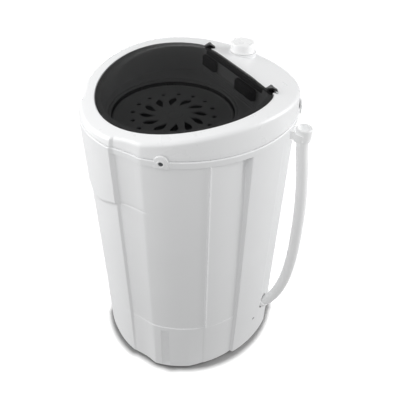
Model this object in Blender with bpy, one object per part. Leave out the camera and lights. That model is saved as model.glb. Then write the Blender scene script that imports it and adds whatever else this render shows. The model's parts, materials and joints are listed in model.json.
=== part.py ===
"""A small top-load washer and spin dryer with a smoked lid, a timer knob and a side drain hose.

Run with: blender --background --python part.py. Metres, +Z up, the front faces -Y.
The origin is on the floor, under the middle of the cabinet. Angles round the cabinet are in
degrees, from 0 at the front to 90 at the +X side and 180 at the rear.
"""

import math

import bmesh
import bpy
from mathutils import Matrix, Vector

MM = 0.001
GAP = 0.3 * MM  # between pieces that touch

# Cabinet: an oval with panels set back from it, closed above by the cover's arched top
HALF_WIDTH = 0.175
HALF_DEPTH = 0.188
SHELL_FOOT_Z = 0.007
PLINTH_Z = 0.131
GRIP_Z = 0.422
SEAM_Z = 0.533
STRIP_HEIGHT = 0.011
STEP_HEIGHT = 0.002
DRAFT = 0.004
WALL = 2.6 * MM
CROWN_Z = 0.5756
CROWN_SLOPE = 0.028
CROWN_CURVE = 0.8

# Panels: angle, then how far each level is set back, in millimetres.
# The levels are the rim (strip and cover), the upper wall, the lower wall, the plinth and its foot.
RIM, UPPER, LOWER, PLINTH, FOOT = 1, 2, 3, 4, 5
PANELS = (
    (0.0, 0.0, 0.0, 3.0, 3.0, 3.0),
    (20.4, 0.0, 0.0, 3.0, 2.6, 1.0),
    (21.6, 4.0, 6.4, 6.4, 6.0, 2.2),
    (30.0, 5.6, 7.6, 7.0, 6.4, 4.0),
    (36.6, 0.6, 3.0, 2.8, 1.6, -2.6),
    (37.8, 0.0, 2.6, 2.6, 1.2, -4.0),
    (60.0, 0.0, 2.6, 2.6, 1.0, -1.4),
    (69.2, 0.0, 2.6, 2.6, 1.0, 3.2),
    (70.0, 0.0, 0.4, 0.4, 0.2, 2.8),
    (71.2, 0.0, 0.4, 0.4, 0.2, 3.0),
    (91.8, 0.0, 8.0, 6.0, 5.0, 8.0),
    (92.8, 0.0, 0.2, 0.2, 0.0, 3.0),
    (116.4, 0.0, 0.0, 0.0, 0.0, 2.6),
    (117.6, 0.0, 1.4, 1.4, 1.0, 2.4),
    (131.0, 0.0, 1.4, 1.4, 1.0, 1.0),
    (132.2, 0.0, 5.0, 5.0, 4.0, 4.0),
    (158.8, 0.0, 5.0, 5.0, 4.0, 4.0),
    (160.0, 0.0, 0.0, 0.0, 0.0, 0.0),
    (180.0, 0.0, 0.0, 0.0, 0.0, 0.0),
)
WIDEST_STEP = 8.0  # degrees between the corners of a round stretch
LID_CORNERS = (134.0, 136.5, 142.0)  # more corners where the lid's outline turns to its straight rear

# Top cover and lid
COVER_INSET = 1.8 * MM
EDGE_ROUND = 6 * MM
COVER_WALL = 2.6 * MM
LID_Y = -0.0108  # middle of the lid's round edge
LID_RADIUS = 0.1475
LID_REAR = 0.0905
LID_WALL = 2.5 * MM
LID_RISE = 6.8 * MM
LID_GAP = 1.0 * MM
REBATE = 3.2 * MM
LEDGE = 10.0 * MM
WELL_MOUTH = 0.1085
WELL_FLOOR_Z = 0.527
HINGE_Y = 0.0965
HINGE_RADIUS = 5.0 * MM
EAR_INNER_X = 0.088
EAR_OUTER_X = 0.102
PIN_RADIUS = 1.6 * MM

# Drum, tub and drive, all on one upright axis
DRUM_Y = -0.033
DRUM_RADIUS = 0.1192
DRUM_FLOOR_Z = 0.238
DRUM_TOP_Z = 0.5165
DRUM_MOUTH = 0.1065
DRUM_WALL = 0.9 * MM
TUB_RADIUS = 0.1335
TUB_FLOOR_Z = 0.214
SPIGOT_DROP = Vector((0.0, 0.0, 0.020))
TUB_TOP_Z = 0.5206
TUB_FLANGE = 0.1395
PLATE_RADIUS = 0.1025
PLATE_TOP_Z = 0.515
PLATE_WALL = 2.4 * MM
PETALS = 12
PETAL_FIRST = -84.0  # degrees from +X, as for the ovals
PETAL_NEAR = 0.026
PETAL_FAR = 0.058
PETAL_HALF_WIDTH = 7.2 * MM
PETAL_SWIRL = 13.0  # degrees that a petal's inner end runs ahead of its outer end
OVALS = 16
OVAL_FIRST = -80.5
OVAL_REACH = 0.0695
OVAL_RADIUS = 4.3 * MM
SHAFT_RADIUS = 6.0 * MM
MOTOR_RADIUS = 0.058
BRACKET_Z = 0.074
BRACKET_WALL = 3.0 * MM
MOTOR_TOP_Z = 0.166
BRAKE_Z = 0.176
BRAKE_RADIUS = 0.038
BRAKE_POST = (0.067, -0.078)
LEVER_LENGTH = 0.113
SPRING_CIRCLE = 0.072
SPRING_RADIUS = 9.0 * MM

# Controls on the rear deck and in the well
BOX_BACK = LID_REAR - 8.4 * MM
BOX_DEPTH = 9.0 * MM
BOX_LOW_Z = 0.546
BOX_HIGH_Z = 0.564
KNOB_X = -0.058
KNOB_Y = 0.142
KNOB_RADIUS = 0.0225
KNOB_HEIGHT = 0.0165
BOSS_TOP_Z = 0.5684

# Drain hose
HOSE_RADIUS = 9.8 * MM
HOSE_TOP_ANGLE = 124.0
HOSE_TOP_REACH = 0.198
HOSE_TOP_Z = 0.520
CUP_SLEEVE = 7.0 * MM  # the cup reaches this far below the hose's end, and CUP_DEPTH above it
CUP_DEPTH = 15.0 * MM
OUTLET_ANGLE = 121.0
OUTLET_Z = 0.107
OUTLET_PITCH = 50.0  # degrees above level at which the hose leaves the wall

# Fasteners and feet
TAB_ANGLES = (47.6, -47.6, 146.0, -146.0)
TAB_RADIUS = 10.5 * MM
TAB_Z = 0.5325
TAB_SCREW_Z = TAB_Z - 2.5 * MM
SCREW_BORE = 1.9 * MM
SCREW_DEPTH = 14.0 * MM
SIDE_SCREW_ANGLES = (110.5, -110.5, 166.0)
SIDE_SCREW_Z = 0.079
POST_GAP = 4.5 * MM  # from the wall's inner face to the post that takes a side screw
GLAND_ANGLE = 180.0
GLAND_Z = 0.060
FOOT_ANGLES = {"front_right": 40.0, "front_left": -40.0, "rear_right": 140.0, "rear_left": -140.0}
FOOT_REACH = 0.150


def sampled_angles():
    """The angles of every corner round the cabinet, in order from 0 to 360."""
    half = []
    for (start, *_), (end, *_) in zip(PANELS, PANELS[1:]):
        steps = math.ceil((end - start) / WIDEST_STEP)
        half += [start + (end - start) * i / steps for i in range(steps)]
    half = sorted(half + list(LID_CORNERS))
    return half + [180.0] + [360.0 - a for a in reversed(half[1:])]


ANGLES = sampled_angles()


def crown(y):
    """Height of the cover's arched top at this depth."""
    return CROWN_Z + CROWN_SLOPE * y - CROWN_CURVE * y * y


def setback(angle, level):
    """How far the wall stands inside the oval at this angle and level, in metres."""
    folded = abs((angle + 180.0) % 360.0 - 180.0)
    for low, high in zip(PANELS, PANELS[1:]):
        if folded <= high[0]:
            share = (folded - low[0]) / (high[0] - low[0])
            return (low[level] + (high[level] - low[level]) * share) * MM
    return PANELS[-1][level] * MM


def oval(angle):
    a = math.radians(angle)
    return 1 / math.hypot(math.sin(a) / HALF_WIDTH, math.cos(a) / HALF_DEPTH)


def wall_reach(angle, level, z, inset=0.0):
    """Distance from the cabinet's axis to its wall, less the inset."""
    draft = DRAFT * (1 - z / SEAM_Z)
    return oval(angle) - setback(angle, level) - draft - inset


def at(angle, reach, z, centre_y=0.0):
    a = math.radians(angle)
    return Vector((reach * math.sin(a), centre_y - reach * math.cos(a), z))


def cabinet_ring(level, inset, z):
    """A ring that follows the cabinet wall. z is a height, or a function of y."""
    ring = []
    for angle in ANGLES:
        height = SEAM_Z if callable(z) else z
        point = at(angle, wall_reach(angle, level, height, inset), height)
        if callable(z):
            point.z = z(point.y)
        ring.append(point)
    return ring


def d_reach(angle, radius, rear):
    """Reach of the D outline: a circle about the lid's middle, cut straight at the rear."""
    back = -math.cos(math.radians(angle))
    if back <= 0.05:
        return radius
    sharpness = 40
    straight = (rear - LID_Y) / back
    return (radius**-sharpness + straight**-sharpness) ** (-1 / sharpness)


def d_ring(radius, rear, z, angles=None):
    ring = []
    for angle in angles or ANGLES:
        point = at(angle, d_reach(angle, radius, rear), 0.0, LID_Y)
        point.z = z(point.y) if callable(z) else z
        ring.append(point)
    return ring


def between(ring, other, share, z):
    """A ring part of the way from one to another, at the height that z gives."""
    mixed = [a.lerp(b, share) for a, b in zip(ring, other)]
    for point in mixed:
        point.z = z(point.y)
    return mixed


def under_crown(depth):
    return lambda y: crown(y) - depth


# Building blocks


def material(name, color, roughness, metallic=0.0, transmission=0.0):
    found = bpy.data.materials.get(name)
    if found:
        return found
    made = bpy.data.materials.new(name)
    made.use_nodes = True
    shader = made.node_tree.nodes["Principled BSDF"]
    shader.inputs["Base Color"].default_value = (*color, 1.0)
    shader.inputs["Roughness"].default_value = roughness
    shader.inputs["Metallic"].default_value = metallic
    shader.inputs["Transmission Weight"].default_value = transmission
    return made


def white():
    return material("white_plastic", (0.86, 0.87, 0.87), 0.35)


def smoked():
    return material("smoked_plastic", (0.06, 0.06, 0.065), 0.08, transmission=0.6)


def black():
    return material("black_plastic", (0.03, 0.03, 0.032), 0.45)


def rubber():
    return material("black_rubber", (0.035, 0.035, 0.037), 0.8)


def steel():
    return material("stainless_steel", (0.62, 0.63, 0.64), 0.3, metallic=1.0)


def iron():
    return material("painted_iron", (0.12, 0.13, 0.14), 0.5, metallic=0.3)


def bronze():
    return material("bronze", (0.55, 0.38, 0.18), 0.35, metallic=1.0)


def hose_plastic():
    return material("hose_plastic", (0.83, 0.84, 0.84), 0.45)


def mesh_object(name, bm, finish, smooth_under=35.0):
    bmesh.ops.recalc_face_normals(bm, faces=bm.faces)
    mesh = bpy.data.meshes.new(name)
    bm.to_mesh(mesh)
    bm.free()
    mesh.shade_smooth()
    mesh.set_sharp_from_angle(angle=math.radians(smooth_under))
    mesh.materials.append(finish)
    made = bpy.data.objects.new(name, mesh)
    bpy.context.scene.collection.objects.link(made)
    return made


def loft(name, rings, finish, closed=False):
    """Skins consecutive rings. A ring of one point is a pole. closed joins the last ring to the first."""
    bm = bmesh.new()
    rows = [[bm.verts.new(point) for point in ring] for ring in rings]
    pairs = list(zip(rows, rows[1:])) + ([(rows[-1], rows[0])] if closed else [])
    for low, high in pairs:
        count = max(len(low), len(high))
        for i in range(count):
            j = (i + 1) % count
            corners = [low[i % len(low)], low[j % len(low)], high[j % len(high)], high[i % len(high)]]
            bm.faces.new(list(dict.fromkeys(corners)))
    return mesh_object(name, bm, finish)


def turned(name, profile, finish, centre=(0.0, DRUM_Y), segments=24):
    """A solid turned about an upright axis. profile is (radius, z) from pole to pole, or a closed section."""
    rings = []
    for radius, z in profile:
        count = segments if radius > 0 else 1
        turn = [2 * math.pi * i / count for i in range(count)]
        rings.append(
            [Vector((centre[0] + radius * math.sin(t), centre[1] - radius * math.cos(t), z)) for t in turn]
        )
    return loft(name, rings, finish, closed=profile[0][0] > 0)


def slab(name, outline, low, high, finish, matrix=None):
    """An outline in x and y, extruded from low to high along z, then placed by the matrix."""
    bm = bmesh.new()
    rows = [[bm.verts.new((x, y, z)) for x, y in outline] for z in (low, high)]
    bm.faces.new(rows[0])
    bm.faces.new(rows[1])
    count = len(outline)
    for i in range(count):
        j = (i + 1) % count
        bm.faces.new([rows[0][i], rows[0][j], rows[1][j], rows[1][i]])
    if matrix:
        bm.transform(matrix)
    return mesh_object(name, bm, finish)


def rod(name, start, end, radius, finish, segments=16, head=None):
    """A round bar from start to end. head adds a wider stretch at the start: (radius, length)."""
    start, end = Vector(start), Vector(end)
    length = (end - start).length
    profile = [(0.0, 0.0), (radius, 0.0), (radius, length), (0.0, length)]
    if head:
        profile = [(0.0, 0.0), (head[0], 0.0), (head[0], head[1]), (radius, head[1])] + profile[2:]
    made = turned(name, profile, finish, centre=(0.0, 0.0), segments=segments)
    made.data.transform((end - start).to_track_quat("Z", "Y").to_matrix().to_4x4())
    made.data.transform(Matrix.Translation(start))
    return made


def block(name, low, high, finish):
    corners = ((low[0], low[1]), (high[0], low[1]), (high[0], high[1]), (low[0], high[1]))
    return slab(name, corners, low[2], high[2], finish)


def helper(made):
    made.hide_render = True
    made.display_type = "WIRE"
    return made


def boolean(target, other, operation, solver):
    helper(other)
    step = target.modifiers.new(f"{operation.lower()}_{other.name}", "BOOLEAN")
    step.operation = operation
    step.solver = solver
    step.object = other
    return target


def cut(target, other, solver="EXACT"):
    return boolean(target, other, "DIFFERENCE", solver)


def fuse(target, other, solver="EXACT"):
    return boolean(target, other, "UNION", solver)


def curve_through(points, spacing):
    """Points along a smooth curve through the route's points, about this far apart."""
    points = [Vector(p) for p in points]
    ends = [2 * points[0] - points[1]] + points + [2 * points[-1] - points[-2]]
    line = []
    for a, b, c, d in zip(ends, ends[1:], ends[2:], ends[3:]):
        steps = max(1, round((c - b).length / spacing))
        for i in range(steps):
            t = i / steps
            square, cube = 2 * a - 5 * b + 4 * c - d, 3 * b - a - 3 * c + d
            line.append(0.5 * (2 * b + (c - a) * t + square * t**2 + cube * t**3))
    return line + [points[-1]]


def tube(name, line, radius, finish, resolution=2):
    curve = bpy.data.curves.new(name, "CURVE")
    curve.dimensions = "3D"
    curve.bevel_depth = radius
    curve.bevel_resolution = resolution
    curve.use_fill_caps = True
    spline = curve.splines.new("POLY")
    spline.points.add(len(line) - 1)
    for corner, point in zip(spline.points, line):
        corner.co = (*point, 1.0)
    curve.materials.append(finish)
    made = bpy.data.objects.new(name, curve)
    bpy.context.scene.collection.objects.link(made)
    return made


def outward(angle):
    a = math.radians(angle)
    return Vector((math.sin(a), -math.cos(a), 0.0))


def standing(angle, reach, z):
    """Places an outline drawn in x and y against the wall at this angle, with its own z outwards."""
    out = outward(angle)
    along = Vector((0.0, 0.0, 1.0)).cross(out)
    basis = Matrix((along, Vector((0.0, 0.0, 1.0)), out)).transposed().to_4x4()
    return Matrix.Translation(out * reach + Vector((0.0, 0.0, z))) @ basis


def arc(radius, start, end, steps, centre=(0.0, 0.0)):
    turns = [math.radians(start + (end - start) * i / steps) for i in range(steps + 1)]
    return [(centre[0] + radius * math.cos(t), centre[1] + radius * math.sin(t)) for t in turns]


# Cabinet


def screw_tab(angle):
    """The half-round tab that stands up from the strip and takes a cover screw."""
    drop = TAB_Z - (SEAM_Z - STRIP_HEIGHT)
    outline = arc(TAB_RADIUS, 0, 180, 10) + [(-TAB_RADIUS, -drop), (TAB_RADIUS, -drop)]
    reach = wall_reach(angle, RIM, SEAM_Z)
    return slab(f"tab_{angle:.0f}", outline, -1.3 * MM, 2.4 * MM, white(), standing(angle, reach, TAB_Z))


def screw_hole(name, angle, reach, z, radius, depth, wide=None):
    """A radial hole from outside the wall inwards. wide is the (radius, depth) of its mouth."""
    out = outward(angle)
    start = out * (reach + 5 * MM) + Vector((0.0, 0.0, z))
    end = out * (reach - depth) + Vector((0.0, 0.0, z))
    head = (wide[0], 5 * MM + wide[1]) if wide else None
    return rod(name, start, end, radius, white(), segments=12, head=head)


def outlet_point():
    return at(OUTLET_ANGLE, wall_reach(OUTLET_ANGLE, PLINTH, OUTLET_Z), OUTLET_Z)


def outlet_direction():
    pitch = math.radians(OUTLET_PITCH)
    return outward(OUTLET_ANGLE) * math.cos(pitch) + Vector((0.0, 0.0, math.sin(pitch)))


def gland_point():
    return at(GLAND_ANGLE, wall_reach(GLAND_ANGLE, PLINTH, GLAND_Z), GLAND_Z)


def body_shell():
    strip_low = SEAM_Z - STRIP_HEIGHT
    levels = (
        (FOOT, SHELL_FOOT_Z),
        (PLINTH, PLINTH_Z),
        (LOWER, PLINTH_Z + STEP_HEIGHT),
        (LOWER, GRIP_Z - 5 * STEP_HEIGHT),
        (UPPER, GRIP_Z + 3 * STEP_HEIGHT),
        (UPPER, strip_low - STEP_HEIGHT / 2),
        (RIM, strip_low),
        (RIM, SEAM_Z),
    )
    outer = [cabinet_ring(level, 0.0, z) for level, z in levels]
    inner = [cabinet_ring(level, WALL, z) for level, z in levels[:5]]
    inner.append(cabinet_ring(UPPER, WALL, SEAM_Z))
    shell = loft("body_shell", outer + inner[::-1], white(), closed=True)
    for angle in TAB_ANGLES:
        fuse(shell, screw_tab(angle))
    for angle in TAB_ANGLES:
        reach = wall_reach(angle, RIM, SEAM_Z)
        mouth = (3.6 * MM, -0.4 * MM)
        hole = screw_hole(f"tab_hole_{angle:.0f}", angle, reach, TAB_SCREW_Z, SCREW_BORE, SCREW_DEPTH, mouth)
        cut(shell, hole)
    for angle in SIDE_SCREW_ANGLES:
        reach = wall_reach(angle, PLINTH, SIDE_SCREW_Z)
        cut(shell, screw_hole(f"side_hole_{angle:.0f}", angle, reach, SIDE_SCREW_Z, 3.2 * MM, 6 * MM))
    middle, along = outlet_point(), outlet_direction()
    reach = 30 * MM
    start, end = middle - along * reach, middle + along * reach
    cut(shell, rod("outlet_hole", start, end, 12.6 * MM, white(), segments=20))
    mouth, out = gland_point(), outward(GLAND_ANGLE)
    cut(shell, rod("gland_hole", mouth - out * 0.01, mouth + out * 0.01, 6.3 * MM, white()))
    return shell


def top_cover():
    """A one-piece moulding: skirt, arched top, rebate for the lid, and the well down to the splash ring."""
    top_inset = COVER_INSET + 1.2 * MM
    edge = cabinet_ring(RIM, top_inset + EDGE_ROUND, crown)
    rebate = d_ring(LID_RADIUS + LID_GAP, LID_REAR + LID_GAP, crown)
    beyond = LID_GAP + COVER_WALL
    ledge_radius, ledge_rear = LID_RADIUS - LEDGE, LID_REAR - 0.6 * LEDGE
    lip = 3.0 * MM
    lip_outer, lip_inner = WALL + 0.5 * MM, WALL + 2.5 * MM
    lip_low = SEAM_Z - 5 * MM
    wall_low = WELL_FLOOR_Z - 2.4 * MM
    well_radius, well_rear = ledge_radius - 4 * MM, ledge_rear - 4 * MM
    rings = [
        cabinet_ring(RIM, COVER_INSET, SEAM_Z + GAP),
        cabinet_ring(RIM, top_inset, under_crown(EDGE_ROUND)),
        cabinet_ring(RIM, top_inset + 0.3 * EDGE_ROUND, under_crown(0.3 * EDGE_ROUND)),
        edge,
        between(edge, rebate, 0.5, crown),
        rebate,
        d_ring(LID_RADIUS + LID_GAP, LID_REAR + LID_GAP, under_crown(REBATE)),
        d_ring(ledge_radius, ledge_rear, under_crown(REBATE)),
        d_ring(well_radius, well_rear, WELL_FLOOR_Z),
        [at(a, WELL_MOUTH, WELL_FLOOR_Z, DRUM_Y) for a in ANGLES],
        [at(a, WELL_MOUTH, wall_low, DRUM_Y) for a in ANGLES],
        d_ring(well_radius + COVER_WALL, well_rear + COVER_WALL, wall_low),
        d_ring(ledge_radius + COVER_WALL, ledge_rear + COVER_WALL, under_crown(REBATE + COVER_WALL)),
        d_ring(LID_RADIUS + beyond, LID_REAR + beyond, under_crown(REBATE + COVER_WALL)),
        d_ring(LID_RADIUS + beyond, LID_REAR + beyond, under_crown(COVER_WALL)),
        cabinet_ring(RIM, top_inset + EDGE_ROUND + COVER_WALL, under_crown(COVER_WALL + 1 * MM)),
        cabinet_ring(UPPER, lip_inner, SEAM_Z + lip),
        cabinet_ring(UPPER, lip_inner, lip_low),
        cabinet_ring(UPPER, lip_outer, lip_low),
        cabinet_ring(UPPER, lip_outer, SEAM_Z + GAP),
    ]
    cover = loft("top_cover", rings, white(), closed=True)
    solver = "MANIFOLD"  # the exact one leaves the arched deck open
    cut(cover, rod("boss_hole", (KNOB_X, KNOB_Y, 0.5), (KNOB_X, KNOB_Y, 0.6), 0.0245, white()), solver)
    fuse(cover, knob_boss(), solver)
    axis_z = hinge_z()
    reach = HINGE_RADIUS + 1.3 * MM
    for side in (-1, 1):
        low, high = sorted((side * (EAR_INNER_X - 1.2 * MM), side * (EAR_OUTER_X + 1.2 * MM)))
        corner, far = (low, LID_REAR - 4 * MM, axis_z - reach), (high, HINGE_Y + reach, axis_z + 0.02)
        cut(cover, block(f"ear_pocket_{side}", corner, far, white()), solver)
        low, high = sorted((side * (EAR_OUTER_X + 1.6 * MM), side * (EAR_OUTER_X + 7 * MM)))
        corner = (low, HINGE_Y - 4 * MM, axis_z - 7 * MM)
        far = (high, HINGE_Y + 4 * MM, crown(HINGE_Y) - 0.6 * MM)
        fuse(cover, block(f"pin_lug_{side}", corner, far, white()), solver)
        start = (side * (EAR_OUTER_X - 1 * MM), HINGE_Y, axis_z)
        end = (side * (EAR_OUTER_X + 6.7 * MM), HINGE_Y, axis_z)
        cut(cover, rod(f"pin_socket_{side}", start, end, PIN_RADIUS + GAP, white(), segments=12), solver)
    mouth = cable_mouth()
    beyond = mouth + Vector((0.0, 9 * MM, 0.0))
    cut(cover, rod("cable_hole", mouth, beyond, 2.2 * MM, white(), segments=12), solver)
    for angle in TAB_ANGLES:
        reach = wall_reach(angle, RIM, SEAM_Z)
        hole = screw_hole(f"cover_hole_{angle:.0f}", angle, reach, TAB_SCREW_Z, SCREW_BORE, SCREW_DEPTH)
        cut(cover, hole, solver)
    return cover


def knob_boss():
    """The round raised seat under the knob, hollow from below, with the timer's shaft hole."""
    hole, inner, foot, rim = 4.0 * MM, 0.0232, 0.0258, 0.0250
    low, under = BOSS_TOP_Z - 0.018, BOSS_TOP_Z - 2.4 * MM
    profile = [(hole, under), (inner, under), (inner, low), (foot, low)]
    profile += [(rim, BOSS_TOP_Z), (hole, BOSS_TOP_Z)]
    return turned("knob_boss", profile, white(), centre=(KNOB_X, KNOB_Y))


def cover_screws():
    for i, angle in enumerate(TAB_ANGLES, 1):
        out, reach = outward(angle), wall_reach(angle, RIM, SEAM_Z)
        lift = Vector((0.0, 0.0, TAB_SCREW_Z))
        start = out * (reach + 1.6 * MM) + lift
        end = out * (reach - 9.0 * MM) + lift
        rod(f"cover_screw_{i}", start, end, 1.5 * MM, steel(), segments=12, head=(3.2 * MM, 0.9 * MM))


def splash_ring():
    low, high = TUB_TOP_Z + GAP, TUB_TOP_Z + GAP + 2.6 * MM
    bead = high + 1.6 * MM
    profile = [
        (DRUM_MOUTH - 3 * MM, low),
        (TUB_FLANGE, low),
        (TUB_FLANGE, high),
        (DRUM_MOUTH + 3 * MM, high),
        (DRUM_MOUTH + 1 * MM, bead),
        (DRUM_MOUTH - 2 * MM, bead),
        (DRUM_MOUTH - 3 * MM, high),
    ]
    return turned("splash_ring", profile, white(), segments=40)


# Lid


def hinge_z():
    return crown(HINGE_Y) + 0.8 * MM


def lid_angles():
    """The lid's own corners: evenly spaced round the front, and closer at the two rear corners."""
    half = [WIDEST_STEP * i for i in range(16)] + [127.0, 131.0, *LID_CORNERS, 150.0, 160.0, 170.0]
    return half + [180.0] + [360.0 - a for a in reversed(half[1:])]


def lid():
    angles = lid_angles()

    def top(rise):
        return under_crown(-rise)

    pole_top = [Vector((0.0, LID_Y, crown(LID_Y) + LID_RISE))]
    pole_under = [Vector((0.0, LID_Y, crown(LID_Y) + LID_RISE - LID_WALL))]
    outer, rear = LID_RADIUS, LID_REAR
    plateau = LID_RADIUS - 24 * MM
    under = LID_RISE - LID_WALL
    rings = [
        pole_top,
        d_ring(0.045, 0.5 * rear, top(LID_RISE), angles),
        d_ring(0.085, 0.75 * rear, top(LID_RISE), angles),
        d_ring(plateau, rear - 5.5 * MM, top(LID_RISE), angles),
        d_ring(plateau + 2.5 * MM, rear - 4.0 * MM, top(LID_RISE - 1.2 * MM), angles),
        d_ring(outer - 8 * MM, rear - 1.2 * MM, top(1.4 * MM), angles),
        d_ring(outer, rear, top(0.0), angles),
        d_ring(outer, rear, top(-LID_WALL - 0.4 * MM), angles),
        d_ring(outer - 6 * MM, rear - 3 * MM, top(-LID_WALL - 0.4 * MM), angles),
        d_ring(outer - 10.5 * MM, rear - 3.8 * MM, top(-1.0 * MM), angles),
        d_ring(plateau + 1.0 * MM, rear - 7.0 * MM, top(under - 1.4 * MM), angles),
        d_ring(plateau - 3.0 * MM, rear - 9.0 * MM, top(under), angles),
        d_ring(0.085, 0.75 * rear, top(under), angles),
        d_ring(0.045, 0.5 * rear, top(under), angles),
        pole_under,
    ]
    made = loft("lid", rings, smoked())
    for side in (-1, 1):
        fuse(made, lid_ear(side))
        start = (side * (EAR_OUTER_X - 5 * MM), HINGE_Y, hinge_z())
        end = (side * (EAR_OUTER_X + 3 * MM), HINGE_Y, hinge_z())
        cut(made, rod(f"ear_bore_{side}", start, end, PIN_RADIUS + GAP, smoked(), segments=12))
    return made


def lid_ear(side):
    """The rounded arm at a rear corner of the lid, which turns on the hinge pin."""
    reach = 10 * MM
    profile = arc(HINGE_RADIUS, 90, -90, 8) + [(-reach, -3.4 * MM), (-reach, 1.2 * MM)]
    turn = Matrix(((0, 0, 1, 0), (1, 0, 0, HINGE_Y), (0, 1, 0, hinge_z()), (0, 0, 0, 1)))
    low, high = sorted((side * EAR_INNER_X, side * EAR_OUTER_X))
    return slab(f"ear_{side}", profile, low, high, smoked(), turn)


def hinge_pins():
    for name, side in (("hinge_pin_left", -1), ("hinge_pin_right", 1)):
        start = (side * (EAR_OUTER_X - 4.4 * MM), HINGE_Y, hinge_z())
        end = (side * (EAR_OUTER_X + 6.4 * MM), HINGE_Y, hinge_z())
        rod(name, start, end, PIN_RADIUS, steel(), segments=12)


# Drum, tub and press plate


def tub():
    floor_top = TUB_FLOOR_Z + 3 * MM
    inner = TUB_RADIUS - WALL
    profile = [
        (0.040, TUB_FLOOR_Z),
        (TUB_RADIUS - 6 * MM, TUB_FLOOR_Z),
        (TUB_RADIUS, TUB_FLOOR_Z + 8 * MM),
        (TUB_RADIUS, TUB_TOP_Z - 2.4 * MM),
        (TUB_FLANGE, TUB_TOP_Z - 2.4 * MM),
        (TUB_FLANGE, TUB_TOP_Z),
        (inner, TUB_TOP_Z),
        (inner, TUB_FLOOR_Z + 9 * MM),
        (inner - 5 * MM, floor_top),
        (0.044, floor_top),
        (0.044, floor_top + 5 * MM),
        (0.040, floor_top + 5 * MM),
    ]
    made = turned("tub", profile, white(), segments=40)
    top = spigot_top()
    fuse(made, rod("spigot", top, top - SPIGOT_DROP, 9.0 * MM, white()))
    cut(made, rod("spigot_bore", top + SPIGOT_DROP, top - 2 * SPIGOT_DROP, 7.0 * MM, white()))
    return made


def spigot_top():
    """The middle of the tub's drain, just under the top of its floor."""
    return at(OUTLET_ANGLE, 0.105, TUB_FLOOR_Z + 1.5 * MM, DRUM_Y)


def drum():
    top, wall = DRUM_TOP_Z, DRUM_WALL
    outer, inner = DRUM_RADIUS, DRUM_RADIUS - DRUM_WALL
    floor = DRUM_FLOOR_Z
    profile = [
        (SHAFT_RADIUS + GAP, floor - 8 * MM),
        (0.020, floor - 8 * MM),
        (0.022, floor),
        (outer - 8 * MM, floor),
        (outer, floor + 8 * MM),
        (outer, top),
        (DRUM_MOUTH, top),
        (DRUM_MOUTH, top - 16 * MM),
        (inner, top - 22 * MM),
        (inner, floor + 8.6 * MM),
        (inner - 7.6 * MM, floor + wall),
        (0.030, floor + wall + 2 * MM),
        (0.016, floor + 14 * MM),
        (SHAFT_RADIUS + GAP, floor + 14 * MM),
    ]
    made = turned("drum", profile, steel(), segments=32)
    rows, columns = 3, 10
    cutters = []
    for row in range(rows):
        for column in range(columns):
            angle = 360 / columns * (column + 0.5 * (row % 2)) + 15
            z = floor + 0.055 + row * 0.072
            reach = outward(angle)
            centre = Vector((0.0, DRUM_Y, z))
            name = f"drum_hole_{row}_{column}"
            hole = rod(name, centre + reach * 0.112, centre + reach * 0.125, 5 * MM, steel(), segments=6)
            cutters.append(hole)
    return cut(made, joined("drum_holes", cutters))


def joined(name, cutters):
    """One mesh from all of these cutters, so that a single Boolean makes them."""
    bm = bmesh.new()
    for hole in cutters:
        bm.from_mesh(hole.data)
        bpy.data.objects.remove(hole)
    return mesh_object(name, bm, steel())


def petal(angle):
    """A drop-shaped slot that points at the middle of the plate, swept round a little like a pinwheel's."""
    length = PETAL_FAR - PETAL_NEAR
    half = ((0.0, 0.0), (0.45, 0.62), (0.78, 1.0), (0.95, 0.62), (1.0, 0.0))
    corners = list(half) + [(share, -width) for share, width in reversed(half[1:-1])]
    outline = []
    for share, width in corners:
        reach = PETAL_NEAR + length * share
        swept = math.radians(angle + PETAL_SWIRL * (0.5 - share))
        turn = swept + width * PETAL_HALF_WIDTH / reach
        outline.append((reach * math.cos(turn), reach * math.sin(turn)))
    return outline


def press_plate():
    """The perforated disc that holds the laundry down, with petal slots and a ring of small ovals."""
    outlines = [arc(PLATE_RADIUS, 0, 360 * 47 / 48, 47)]
    outlines += [petal(PETAL_FIRST + 360 / PETALS * i) for i in range(PETALS)]
    for i in range(OVALS):
        angle = math.radians(OVAL_FIRST + 360 / OVALS * i)
        centre = (OVAL_REACH * math.cos(angle), OVAL_REACH * math.sin(angle))
        outlines.append(arc(OVAL_RADIUS, 0, 300, 5, centre))
    curve = bpy.data.curves.new("press_plate", "CURVE")
    curve.dimensions = "2D"
    curve.fill_mode = "BOTH"
    curve.extrude = PLATE_WALL / 2
    for outline in outlines:
        spline = curve.splines.new("POLY")
        spline.points.add(len(outline) - 1)
        spline.use_cyclic_u = True
        for corner, (x, y) in zip(spline.points, outline):
            corner.co = (x, y, 0.0, 1.0)
    curve.materials.append(white())
    made = bpy.data.objects.new("press_plate", curve)
    made.location = (0.0, DRUM_Y, PLATE_TOP_Z - PLATE_WALL / 2)
    bpy.context.scene.collection.objects.link(made)
    return made


# Drive


def drive_shaft():
    low, high = BRAKE_Z + 10 * MM, DRUM_FLOOR_Z + 26 * MM
    rod("drive_shaft", (0, DRUM_Y, low), (0, DRUM_Y, high), SHAFT_RADIUS, steel(), segments=20)
    seat = DRUM_FLOOR_Z + 14 * MM + GAP
    hexagon = arc(11 * MM, 0, 300, 5, (0.0, DRUM_Y))
    nut = slab("drum_nut", hexagon, seat, seat + 7 * MM, steel())
    bore = SHAFT_RADIUS + GAP
    cut(nut, rod("nut_bore", (0, DRUM_Y, seat - 0.01), (0, DRUM_Y, seat + 0.02), bore, steel(), segments=20))


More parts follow.
